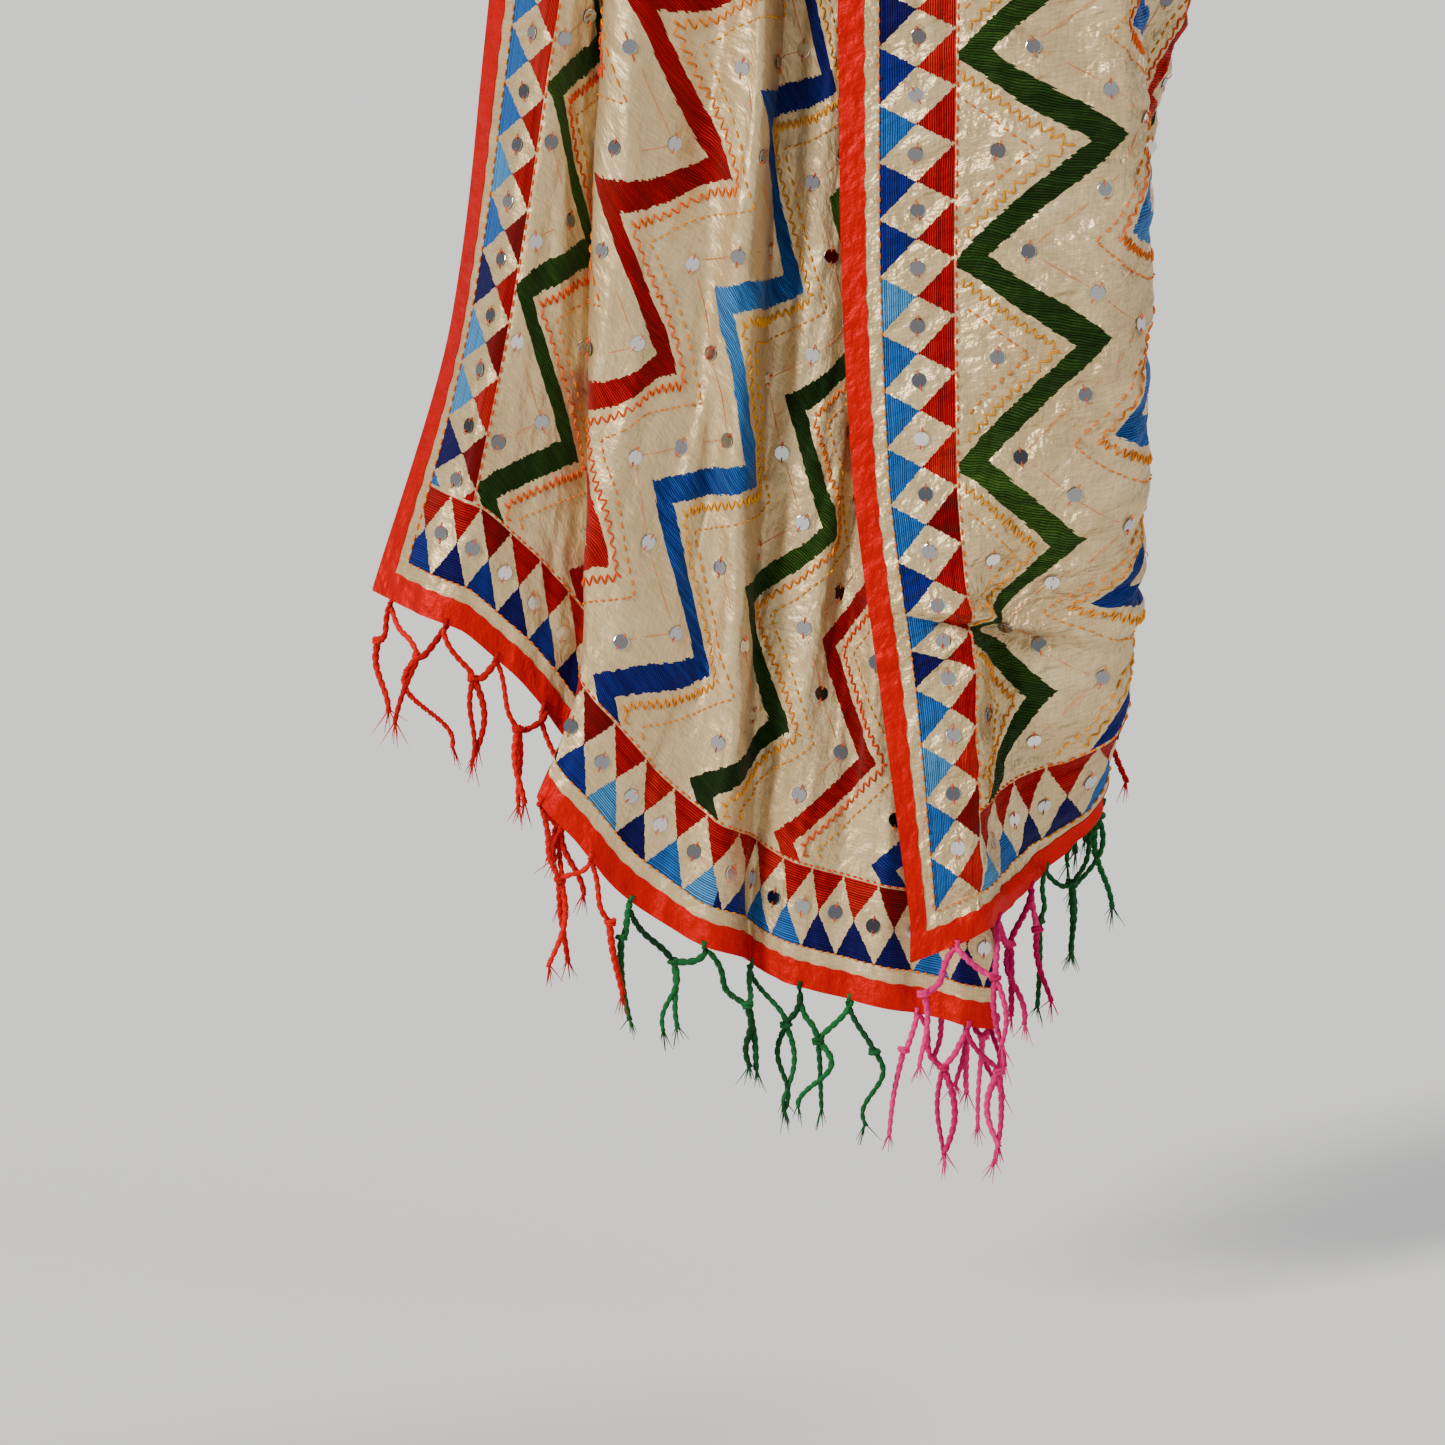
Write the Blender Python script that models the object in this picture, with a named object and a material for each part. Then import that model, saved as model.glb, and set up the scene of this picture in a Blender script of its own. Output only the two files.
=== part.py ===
"""An embroidered dupatta: one length of cloth with a tape sewn round its edge and a
knotted fringe at each end. It is gathered over the left shoulder: one end falls in
front, the middle hangs behind in a loop, and the other end comes back over the outer
side of the same shoulder and falls in front of the arm.

Metres, +Z up. The origin is the top of the left shoulder, which holds the cloth up,
-Y is the wearer's front and +X the wearer's left. The tables are in mm, with
sideways distances from the middle of the body. Across the cloth, `across` runs from
the right-hand selvedge (0) to the left-hand one (CLOTH_WIDTH)."""

import bpy
import numpy as np

MM = 0.001

CLOTH_WIDTH = 1.030
CLOTH_WALL = 0.0016
SHOULDER_ASIDE = 0.120
SEAM_GAP = 0.0003
TAPE_WIDTH = 0.020
TAPE_THICKNESS = 0.0010

FALL_TOP = -0.430
FALL_ROWS = 13
WRAP_ROWS = 38
COLUMNS_PER_PLEAT = 4
COLUMNS_PER_FOLD = 2

FRINGE_STEP = 0.062
FRINGE_DROP = 0.088
KNOT_DROP = 0.028
STRIP_HEIGHT = 0.0030
STRIP_THICKNESS = 0.0024
STRAND_WIDTH = 0.0030
STRAND_APART = 0.0050

# How far the cloth stands in front of the shoulder, at each height (mm).
# height, forward
FRONT_OF_BODY = np.array((
    (-1200, 166),
    (-900, 160),
    (-690, 150),
    (-430, 135),
))

# Folds of the front fall, each a line down the cloth, read at four heights (mm).
# The columns are across the cloth x4, sideways x4, forward of the body x4.
FRONT_HEIGHTS = (-480, -690, -900, -1110)
FRONT_FOLDS = np.array((
    (0, 0, 0, 0, -137, -162, -223, -284, -50, -56, -34, -20),
    (84, 84, 84, 84, -88, -122, -165, -207, 8, 8, 8, 8),
    (186, 198, 272, 296, -56, -64, -56, -108, -20, -24, -27, -28),
    (198, 214, 306, 332, -60, -71, -72, -140, 4, 8, 11, 12),
    (222, 246, 344, 385, -38, -48, -48, -91, 22, 20, 20, 14),
    (250, 312, 405, 446, 0, -4, 0, -46, 6, 4, 4, 4),
    (266, 328, 432, 480, 18, 11, 15, -15, -8, -4, 0, 0),
    (312, 368, 462, 520, 49, 36, 34, 18, 22, 20, 14, 10),
    (326, 385, 472, 540, 58, 48, 41, 34, 10, 8, 4, 0),
    (350, 410, 500, 572, 62, 55, 48, 43, -24, -24, -24, -24),
    (430, 480, 560, 640, 102, 95, 85, 77, -14, -14, -12, -6),
    (520, 560, 620, 690, 128, 122, 110, 108, -36, -32, -20, -8),
    (600, 630, 680, 730, 142, 140, 132, 136, -4, -4, -4, 0),
    (680, 700, 740, 770, 168, 166, 162, 164, -36, -32, -22, -10),
    (765, 780, 800, 812, 190, 188, 188, 190, -6, -6, -6, -4),
    (848, 848, 848, 848, 214, 213, 212, 210, -20, -18, -16, -12),
    (880, 880, 880, 880, 220, 219, 217, 214, -48, -46, -44, -38),
    (1030, 1030, 1030, 1030, 196, 192, 188, 184, -170, -170, -168, -160),
), dtype=float)

# Folds of the side fall, which hangs over the wearer's left arm, at five heights (mm).
# The columns are the distance from the left-hand selvedge x5, sideways x5, forward x5.
SIDE_HEIGHTS = (-480, -637, -795, -952, -1110)
SIDE_FOLDS = np.array((
    (0, 0, 0, 0, 0, 102, 104, 112, 132, 153, 30, 30, 31, 33, 34),
    (84, 84, 84, 84, 84, 182, 181, 183, 197, 202, 36, 36, 36, 34, 28),
    (130, 130, 130, 130, 130, 226, 224, 222, 210, 221, 40, 40, 36, 2, -10),
    (192, 192, 192, 192, 192, 300, 292, 275, 249, 243, 34, 34, 30, -2, -50),
    (226, 226, 226, 226, 226, 308, 310, 307, 287, 256, 16, 18, 14, -10, -74),
    (250, 252, 256, 262, 270, 311, 316, 316, 307, 275, -6, 0, -6, -30, -100),
    (290, 290, 295, 300, 310, 300, 306, 304, 292, 262, -42, -38, -42, -62, -120),
    (400, 400, 390, 380, 380, 351, 308, 304, 292, 255, -84, -94, -96, -104, -145),
    (470, 470, 465, 460, 460, 300, 286, 282, 272, 244, -128, -128, -130, -134, -158),
    (570, 570, 570, 570, 570, 346, 322, 316, 304, 272, -155, -155, -155, -158, -178),
    (660, 660, 660, 660, 660, 288, 272, 268, 260, 238, -160, -160, -162, -166, -186),
    (760, 760, 760, 760, 760, 318, 304, 298, 286, 256, -222, -220, -218, -216, -226),
    (850, 850, 850, 850, 850, 262, 250, 246, 240, 222, -180, -182, -184, -188, -204),
    (940, 940, 940, 940, 940, 242, 236, 230, 224, 204, -250, -248, -246, -242, -244),
    (1030, 1030, 1030, 1030, 1030, 170, 168, 166, 162, 156, -258, -254, -250, -244, -240),
), dtype=float)

# The height of each fallen end along its edge (mm).
# across the cloth, height
FRONT_END = np.array((
    (0, -888), (100, -909), (175, -947), (250, -992), (335, -1029), (420, -1085),
    (500, -1127), (600, -1155), (720, -1174), (848, -1193), (1030, -1165),
), dtype=float)
# from the left-hand selvedge, height
SIDE_END = np.array((
    (0, -1137), (84, -1118), (134, -1107), (192, -1091), (212, -1084), (251, -1062),
    (270, -1040), (310, -1022), (370, -1004), (500, -960), (700, -915), (1030, -870),
), dtype=float)

# Lines across the cloth on its way over the shoulder, round the loop behind, and back
# over the outer side of the shoulder (mm), from the left-hand selvedge to the
# right-hand one. Each row has four points x y z, then the depth of the pleats there.
WRAP_LINES = np.array((
    (184, -16, -304, 160, -122, -288, 58, -142, -264, -34, -142, -250, 5),
    (138, -72, -110, 106, -104, -94, 62, -112, -78, 20, -108, -64, 9),
    (128, 0, 12, 96, 0, 22, 62, 0, 34, 30, 6, 48, 10),
    (134, 58, -16, 102, 94, -76, 62, 108, -94, 22, 106, -80, 6),
    (138, 68, -36, 114, 118, -158, 78, 140, -226, 36, 148, -262, 7),
    (142, 70, -40, 142, 124, -182, 132, 150, -272, 112, 160, -338, 9),
    (146, 68, -36, 170, 116, -160, 188, 138, -232, 198, 142, -284, 7),
    (150, 58, -22, 184, 88, -90, 216, 92, -132, 248, 80, -160, 7),
    (152, 0, 8, 184, 0, -8, 216, 0, -36, 246, -4, -70, 10),
    (156, -112, -100, 206, -104, -120, 250, -80, -150, 276, -34, -172, 9),
    (128, -184, -262, 276, -124, -276, 300, -30, -290, 252, 60, -300, 6),
), dtype=float)

# Where the pleats stand proud (mm across the cloth), and how deep each one is.
# across, depth
PLEATS = np.array((
    (30, 0.8), (130, 0.9), (222, 1.1), (312, 1.0), (420, 0.8), (520, 1.1),
    (610, 0.9), (700, 1.2), (785, 1.0), (870, 0.9), (960, 1.0),
))


def material(name, colour, roughness, sheen=0.0):
    """A Principled finish of one colour."""
    made = bpy.data.materials.new(name)
    made.use_nodes = True
    shader = made.node_tree.nodes["Principled BSDF"]
    shader.inputs["Base Color"].default_value = (*colour, 1.0)
    shader.inputs["Roughness"].default_value = roughness
    shader.inputs["Metallic"].default_value = 0.0
    shader.inputs["Sheen Weight"].default_value = sheen
    return made


def gentle_slope(before, after):
    """The slope at a point between two steps: their harmonic mean, level at a turn."""
    total = np.where(before + after == 0, 1, before + after)
    return np.where(before * after > 0, 2 * before * after / total, 0)


def along_rows(rows, place):
    """A smooth curve through rows[0], rows[1]..., read at `place` in row numbers."""
    last = len(rows) - 1
    place = np.clip(place, 0, last)
    start = np.minimum(place.astype(int), last - 1)
    share = place - start
    near = [
        np.take_along_axis(rows, np.clip(start + step, 0, last)[None], axis=0)[0]
        for step in (-1, 0, 1, 2)
    ]
    step = near[2] - near[1]
    leave = gentle_slope(near[1] - near[0], step)
    reach = gentle_slope(step, near[3] - near[2])
    leave = np.where(start == 0, step, leave)
    reach = np.where(start == last - 1, step, reach)
    return (
        near[1]
        + share * leave
        + share**2 * (3 * step - 2 * leave - reach)
        + share**3 * (leave + reach - 2 * step)
    )


def folds_at(folds, heights, fold, height):
    """(across, sideways, forward) in metres at fold numbers and heights."""
    count = len(heights)
    level = (height / MM - heights[0]) / (heights[1] - heights[0])
    found = []
    for part in range(3):
        columns = folds[:, part * count:(part + 1) * count]
        lines = [
            along_rows(
                np.broadcast_to(line[:, None, None], (count, *level.shape)), level
            )
            for line in columns
        ]
        found.append(along_rows(np.array(lines), fold) * MM)
    return found


def fall(folds, heights, end, fold, rows_down):
    """Points of a fall, its `across` values and rows from its end (row 0) up.

    The first two rows are the two edges of the end tape, and the others share out
    what is left up to FALL_TOP."""
    fold = np.broadcast_to(fold, (len(rows_down), len(fold)))
    rows_down = rows_down[:, None]
    height = np.full(fold.shape, -0.9)
    for _ in range(12):
        across = folds_at(folds, heights, fold, height)[0]
        low = np.interp(across, end[:, 0] * MM, end[:, 1] * MM)
        taped = low + TAPE_WIDTH * rows_down
        share = (rows_down - 1) / (FALL_ROWS - 1)
        spread = low + TAPE_WIDTH + (FALL_TOP - low - TAPE_WIDTH) * share
        height = np.where(rows_down <= 1, taped, spread)
    across, sideways, forward = folds_at(folds, heights, fold, height)
    body = np.interp(height, FRONT_OF_BODY[:, 0] * MM, FRONT_OF_BODY[:, 1] * MM)
    return np.stack((sideways, -body - forward, height), axis=-1), across


def fold_numbers(folds):
    """Column places: COLUMNS_PER_FOLD to each fold, and the tape's inner edges."""
    inner = np.arange((len(folds) - 1) * COLUMNS_PER_FOLD + 1) / COLUMNS_PER_FOLD
    widths = folds[:, 0] * MM
    edges = np.interp((TAPE_WIDTH, CLOTH_WIDTH - TAPE_WIDTH), widths, np.arange(len(folds)))
    inner = inner[np.abs(inner[:, None] - edges).min(axis=1) > 0.12]
    return np.sort(np.concatenate((inner, edges)))


def pleat_wave(pleats, across):
    """1 on each pleat's crest and -1 between two, times the pleat's own depth."""
    number = np.interp(across / MM, pleats[:, 0], np.arange(len(pleats)))
    depth = np.interp(across / MM, pleats[:, 0], pleats[:, 1])
    return depth * np.cos(2 * np.pi * number)


def unit(vectors):
    return vectors / np.linalg.norm(vectors, axis=-1, keepdims=True)


def heading(points, axis):
    """The way that a grid's lines run at each point: the mean of the two steps there."""
    step = unit(np.diff(points, axis=axis))
    ends = [(0, 0), (0, 0), (0, 0)]
    ends[axis] = (1, 1)
    padded = np.pad(step, ends, mode="edge")
    before, after = np.split(padded, (1,), axis=axis)
    before = np.concatenate((before, after), axis=axis).take(range(points.shape[axis]), axis)
    return before + after


def outward(points):
    """Unit normals of a grid of points: along the columns, times along the rows."""
    return unit(np.cross(heading(points, 1), heading(points, 0)))


def wrap_lines(across):
    """The pleated lines over the shoulders and back, one row of points for each."""
    place = 3 * (CLOTH_WIDTH - across) / CLOTH_WIDTH
    base = []
    for line in WRAP_LINES:
        corners = line[:12].reshape(4, 3) * MM
        base.append(
            np.stack(
                [
                    along_rows(
                        np.broadcast_to(corners[:, [axis]], (4, len(across))), place
                    )
                    for axis in range(3)
                ],
                axis=-1,
            )
        )
    base = np.array(base)
    depth = WRAP_LINES[:, 12, None, None] * MM
    return base + depth * outward(base) * pleat_wave(PLEATS, across)[:, None]


def spline_rows(lines, count):
    """Rows of a Catmull-Rom surface from lines[1] to lines[-2], evenly spaced."""
    chord = np.linalg.norm(np.diff(lines, axis=0), axis=-1).mean(axis=1)
    knots = np.concatenate(((0,), np.cumsum(chord)))
    slopes = np.gradient(lines, knots, axis=0)
    at = np.linspace(knots[1], knots[-2], count)
    start = np.clip(np.searchsorted(knots, at, side="right") - 1, 1, len(lines) - 3)
    span = (knots[start + 1] - knots[start])[:, None, None]
    share = ((at - knots[start])[:, None, None]) / span
    first, last = lines[start], lines[start + 1]
    leave, reach = slopes[start] * span, slopes[start + 1] * span
    step = last - first
    return (
        first
        + share * leave
        + share**2 * (3 * step - 2 * leave - reach)
        + share**3 * (leave + reach - 2 * step)
    )


def section_at(folds, heights, across, height):
    """A fall's level section read at given `across` values."""
    fold = np.linspace(0, len(folds) - 1, 600)[None]
    level = np.full(fold.shape, height)
    found, sideways, forward = folds_at(folds, heights, fold, level)
    body = np.interp(height, FRONT_OF_BODY[:, 0] * MM, FRONT_OF_BODY[:, 1] * MM)
    x = np.interp(across, found[0], sideways[0])
    y = -body - np.interp(across, found[0], forward[0])
    return np.stack((x, y, np.full(across.shape, height)), axis=-1)


def wrap(across, count):
    """The cloth from the top of the front fall, by the shoulder, to the side fall."""
    below = 0.060
    other = CLOTH_WIDTH - across
    lines = np.concatenate((
        section_at(FRONT_FOLDS, FRONT_HEIGHTS, across, FALL_TOP - below)[None],
        section_at(FRONT_FOLDS, FRONT_HEIGHTS, across, FALL_TOP)[None],
        wrap_lines(across),
        section_at(SIDE_FOLDS, SIDE_HEIGHTS, other, FALL_TOP)[None],
        section_at(SIDE_FOLDS, SIDE_HEIGHTS, other, FALL_TOP - below)[None],
    ))
    return spline_rows(lines, count)


def level_edge(points, normals, row, shift):
    """The grid with one edge row moved up or down, and its end face made level."""
    points, normals = points.copy(), normals.copy()
    points[row, :, 2] += shift
    normals[row, :, 2] = 0
    normals[row] = unit(normals[row])
    return points, normals


def room(points):
    """How much of the full wall fits at each point: less than 1 in a tight fold."""
    apart = np.full(points.shape[:2], 1.0)
    apart[:, 1:-1] = np.linalg.norm(points[:, 2:] - points[:, :-2], axis=-1)
    straight = np.linalg.norm(heading(points, 1), axis=-1) / 2
    fits = np.minimum(0.25 * apart / (CLOTH_WALL / 2), 1.2 * straight)
    near = np.pad(fits, ((0, 0), (1, 1)), mode="edge")
    least = np.minimum(np.minimum(near[:, :-2], near[:, 1:-1]), near[:, 2:])
    return np.clip(least, 0.15, 1.0)[..., None]


def wall_mesh(name, inner, outer, finish):
    """One closed wall between two grids of points, the outer one facing out."""
    rows, columns = outer.shape[:2]
    number = np.arange(rows * columns).reshape(rows, columns)
    a, b = number[:-1, :-1].ravel(), number[:-1, 1:].ravel()
    c, d = number[1:, 1:].ravel(), number[1:, :-1].ravel()
    face = np.concatenate((np.stack((a, b, c), 1), np.stack((a, c, d), 1)))
    rim = np.concatenate((
        number[0, :], number[1:, -1], number[-1, -2::-1], number[-2:0:-1, 0],
    ))
    ahead = np.roll(rim, -1)
    under = rows * columns
    edge = np.concatenate((
        np.stack((ahead, rim, rim + under), 1),
        np.stack((ahead, rim + under, ahead + under), 1),
    ))
    faces = np.concatenate((face, face[:, ::-1] + under, edge))
    points = np.concatenate((outer.reshape(-1, 3), inner.reshape(-1, 3)))
    mesh = bpy.data.meshes.new(name)
    mesh.from_pydata(points.tolist(), [], faces.tolist())
    mesh.materials.append(finish)
    mesh.shade_smooth()
    made = bpy.data.objects.new(name, mesh)
    bpy.context.collection.objects.link(made)
    return made


def cloth_node(name, points, normals, finish):
    half = normals * room(points) * CLOTH_WALL / 2
    return wall_mesh(name, points - half, points + half, finish)


def tape_node(name, points, normals, finish, first=0, last=None):
    """A tape on the cloth's face, made from the cloth's own points moved out."""
    normals = (normals * room(points))[:, first:last]
    points = points[:, first:last]
    low = points + normals * (CLOTH_WALL / 2 + SEAM_GAP)
    return wall_mesh(name, low, low + normals * TAPE_THICKNESS, finish)


def fringe_node(name, edge, bends, start, stop, finish):
    """A knotted fringe: a narrow strip under the end, with two strands to a root.

    `edge` is a function from the distance along the end to a point, and `bends` the
    distances where the end turns. From each root one strand slants to the knot on
    either side, then hangs beside its neighbour."""
    roots = np.arange(start + FRINGE_STEP / 2, stop, FRINGE_STEP)
    half = STRAND_WIDTH / 2
    ties = roots[:, None] + np.array((-3, -1, 1, 3)) * half
    bends = bends[(bends > start + 0.006) & (bends < stop - 0.006)]
    bends = bends[np.abs(bends[:, None] - roots).min(axis=1) > half * 4]
    ends = (start + 0.003, stop - 0.003)
    marks = np.sort(np.concatenate((ties.ravel(), bends, ends)))
    centre = np.array([edge(mark) for mark in marks])
    tangent = unit(np.gradient(centre, axis=0))
    side = unit(np.cross(tangent, (0, 0, 1))) * STRIP_THICKNESS / 2
    top = centre - np.array((0, 0, SEAM_GAP * 2))
    low = top - np.array((0, 0, STRIP_HEIGHT))
    ring = np.stack((top - side, top + side, low + side, low - side), axis=1)
    points = list(ring.reshape(-1, 3))
    faces = []
    hanging = {}
    for row, root in zip(ties, roots):
        hanging[int(np.argmin(np.abs(marks - row[0])))] = (root, -1)
        hanging[int(np.argmin(np.abs(marks - row[2])))] = (root, 1)
    for i in range(len(marks) - 1):
        here, then = 4 * i, 4 * i + 4
        for k in range(4):
            if k == 2 and i in hanging:
                continue
            m = (k + 1) % 4
            faces.append((here + k, here + m, then + m, then + k))
    faces.append((3, 2, 1, 0))
    last = 4 * (len(marks) - 1)
    faces.append((last, last + 1, last + 2, last + 3))
    for i, (root, way) in hanging.items():
        near = np.clip(root + way * (FRINGE_STEP / 2), start + 0.004, stop - 0.004)
        knot = edge(near) - np.array((0, 0, KNOT_DROP))
        aside = unit(edge(near + 0.004) - edge(near - 0.004))
        aside = aside * (STRAND_APART / 2 + half) * -way
        root_ring = (4 * i + 2, 4 * i + 3, 4 * i + 7, 4 * i + 6)
        middle = sum(points[k] for k in root_ring) / 4
        shape = [points[k] - middle for k in root_ring]
        previous = root_ring
        for spot, size in (
            (knot + aside, 1.0),
            (knot + aside - np.array((0, 0, (FRINGE_DROP - KNOT_DROP) / 2)), 1.2),
            (knot + aside - np.array((0, 0, FRINGE_DROP - KNOT_DROP)), 0.9),
        ):
            first = len(points)
            points += [spot + corner * size for corner in shape]
            ring_now = tuple(range(first, first + 4))
            for k in range(4):
                m = (k + 1) % 4
                faces.append((previous[k], previous[m], ring_now[m], ring_now[k]))
            previous = ring_now
        faces.append(previous)
    mesh = bpy.data.meshes.new(name)
    mesh.from_pydata([tuple(point) for point in points], [], faces)
    mesh.materials.append(finish)
    made = bpy.data.objects.new(name, mesh)
    bpy.context.collection.objects.link(made)
    return made


def fall_nodes(name, folds, heights, end, sides, cloth, tape, threads):
    """A fall's cloth, its two selvedge tapes, its end tape and its fringes."""
    columns = fold_numbers(folds)
    points, across = fall(folds, heights, end, columns, np.arange(FALL_ROWS + 1.0))
    normals = outward(points)
    points, normals = level_edge(points, normals, -1, -SEAM_GAP / 2)
    cloth_node(name + "_cloth", points, normals, cloth)
    upper = points[1:].copy()
    upper[0] += unit(points[2] - points[1]) * SEAM_GAP
    tape_node(f"{name}_{sides[0]}_tape", upper, normals[1:], tape, 0, 2)
    tape_node(f"{name}_{sides[1]}_tape", upper, normals[1:], tape, -2, None)
    tape_node(f"{name}_end_tape", points[:2], normals[:2], tape)
    spread, curve = across[0], points[0]

    def edge(place):
        return np.array([np.interp(place, spread, curve[:, axis]) for axis in range(3)])

    for colour, start, stop, finish in threads:
        fringe_node(f"{name}_{colour}_fringe", edge, spread, start, stop, finish)


def build():
    for old in list(bpy.data.objects):
        bpy.data.objects.remove(old)
    cloth = material("tussar silk", (0.60, 0.47, 0.29), 0.45, 0.3)
    tape = material("red satin tape", (0.75, 0.02, 0.01), 0.5, 0.2)
    red = material("red thread", (0.70, 0.03, 0.02), 0.8, 0.3)
    green = material("green thread", (0.02, 0.16, 0.05), 0.8, 0.3)
    pink = material("pink thread", (0.70, 0.02, 0.20), 0.8, 0.3)
    front_threads = (
        ("red", 0.0, 0.160, red),
        ("fold", 0.330, 0.434, red),
        ("green", 0.434, 0.744, green),
        ("pink", 0.744, CLOTH_WIDTH, pink),
    )
    side_threads = (("pink", 0.0, 0.190, pink),)
    fall_nodes(
        "front_fall", FRONT_FOLDS, FRONT_HEIGHTS, FRONT_END, ("right", "left"), cloth,
        tape, front_threads,
    )
    fall_nodes(
        "side_fall", SIDE_FOLDS, SIDE_HEIGHTS, SIDE_END, ("left", "right"), cloth,
        tape, side_threads,
    )
    pleats = np.arange((len(PLEATS) - 1) * COLUMNS_PER_PLEAT + 1) / COLUMNS_PER_PLEAT
    inner = np.interp(pleats, np.arange(len(PLEATS)), PLEATS[:, 0]) * MM
    taped = (CLOTH_WIDTH - TAPE_WIDTH, CLOTH_WIDTH)
    across = np.concatenate(((0, TAPE_WIDTH), inner, taped))
    points = wrap(across, WRAP_ROWS + 1)
    normals = outward(points)
    points, normals = level_edge(points, normals, 0, SEAM_GAP / 2)
    points, normals = level_edge(points, normals, -1, SEAM_GAP / 2)
    cloth_node("shoulder_span_cloth", points, normals, cloth)
    tape_node("shoulder_span_right_tape", points, normals, tape, 0, 2)
    tape_node("shoulder_span_left_tape", points, normals, tape, -2, None)
    for made in bpy.data.objects:
        for vertex in made.data.vertices:
            vertex.co.x -= SHOULDER_ASIDE


build()
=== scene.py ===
# %% [markdown]
# # An embroidered dupatta, gathered over one shoulder
#
# A dupatta is one long length of thin cloth. This one is cream tissue silk with satin
# stitch in seven zigzag bands, a border of triangles, small round sequins, a red tape
# folded over every edge and a knotted fringe at each end. The CAD part beside it holds
# the folds as plain walls; this script lays fine cloth on the same form and sews on it.
#
# The units are metres, with +Z up and the wearer's front towards -Y. A place on the cloth
# is a pair of lengths: `s` across it from the right-hand selvedge, and `t` along it from
# the end that falls in front.

import math
from functools import partialmethod

import bpy
import numpy as np
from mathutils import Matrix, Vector


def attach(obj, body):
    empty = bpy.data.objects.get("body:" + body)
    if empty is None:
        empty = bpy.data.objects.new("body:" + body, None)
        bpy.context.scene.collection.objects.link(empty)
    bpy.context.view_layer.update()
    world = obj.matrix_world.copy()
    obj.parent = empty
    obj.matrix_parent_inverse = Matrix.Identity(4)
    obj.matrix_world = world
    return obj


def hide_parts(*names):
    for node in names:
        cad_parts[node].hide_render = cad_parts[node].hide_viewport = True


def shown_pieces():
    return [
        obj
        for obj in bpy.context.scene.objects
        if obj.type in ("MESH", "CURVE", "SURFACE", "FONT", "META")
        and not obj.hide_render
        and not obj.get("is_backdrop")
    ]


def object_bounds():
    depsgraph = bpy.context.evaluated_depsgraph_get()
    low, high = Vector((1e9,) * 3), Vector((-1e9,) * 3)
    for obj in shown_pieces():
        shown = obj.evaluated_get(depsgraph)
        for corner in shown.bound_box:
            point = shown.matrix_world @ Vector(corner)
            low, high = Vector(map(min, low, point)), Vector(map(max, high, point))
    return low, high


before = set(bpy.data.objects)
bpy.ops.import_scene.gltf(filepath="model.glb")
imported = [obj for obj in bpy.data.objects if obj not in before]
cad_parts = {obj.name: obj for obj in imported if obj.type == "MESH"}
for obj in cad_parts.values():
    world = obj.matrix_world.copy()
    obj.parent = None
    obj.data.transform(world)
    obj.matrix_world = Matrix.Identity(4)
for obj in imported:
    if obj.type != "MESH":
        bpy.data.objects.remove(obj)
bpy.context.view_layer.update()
MM = 0.001
CLOTH_WIDTH = 1.030
CLOTH_LENGTH = 2.619
SHOULDER_ASIDE = 0.120
rng = np.random.default_rng(7)

# %% [markdown]
# The hang of the cloth is written as short tables of its folds, the ones that the CAD part
# is made from. A fold is a line that runs down the cloth, so each row gives one fold: where
# it lies across the cloth, how far aside it hangs and how far forward, at a few heights.

# %% The tables of folds
FALL_TOP = -0.430
FRONT_OF_BODY = np.array((
    (-1200, 166),
    (-900, 160),
    (-690, 150),
    (-430, 135),
))
FRONT_HEIGHTS = (-480, -690, -900, -1110)
FRONT_FOLDS = np.array((
    (0, 0, 0, 0, -137, -162, -223, -284, -50, -56, -34, -20),
    (84, 84, 84, 84, -88, -122, -165, -207, 8, 8, 8, 8),
    (186, 198, 272, 296, -56, -64, -56, -108, -20, -24, -27, -28),
    (198, 214, 306, 332, -60, -71, -72, -140, 4, 8, 11, 12),
    (222, 246, 344, 385, -38, -48, -48, -91, 22, 20, 20, 14),
    (250, 312, 405, 446, 0, -4, 0, -46, 6, 4, 4, 4),
    (266, 328, 432, 480, 18, 11, 15, -15, -8, -4, 0, 0),
    (312, 368, 462, 520, 49, 36, 34, 18, 22, 20, 14, 10),
    (326, 385, 472, 540, 58, 48, 41, 34, 10, 8, 4, 0),
    (350, 410, 500, 572, 62, 55, 48, 43, -24, -24, -24, -24),
    (430, 480, 560, 640, 102, 95, 85, 77, -14, -14, -12, -6),
    (520, 560, 620, 690, 128, 122, 110, 108, -36, -32, -20, -8),
    (600, 630, 680, 730, 142, 140, 132, 136, -4, -4, -4, 0),
    (680, 700, 740, 770, 168, 166, 162, 164, -36, -32, -22, -10),
    (765, 780, 800, 812, 190, 188, 188, 190, -6, -6, -6, -4),
    (848, 848, 848, 848, 214, 213, 212, 210, -20, -18, -16, -12),
    (880, 880, 880, 880, 220, 219, 217, 214, -48, -46, -44, -38),
    (1030, 1030, 1030, 1030, 196, 192, 188, 184, -170, -170, -168, -160),
), dtype=float)
SIDE_HEIGHTS = (-480, -637, -795, -952, -1110)
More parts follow.
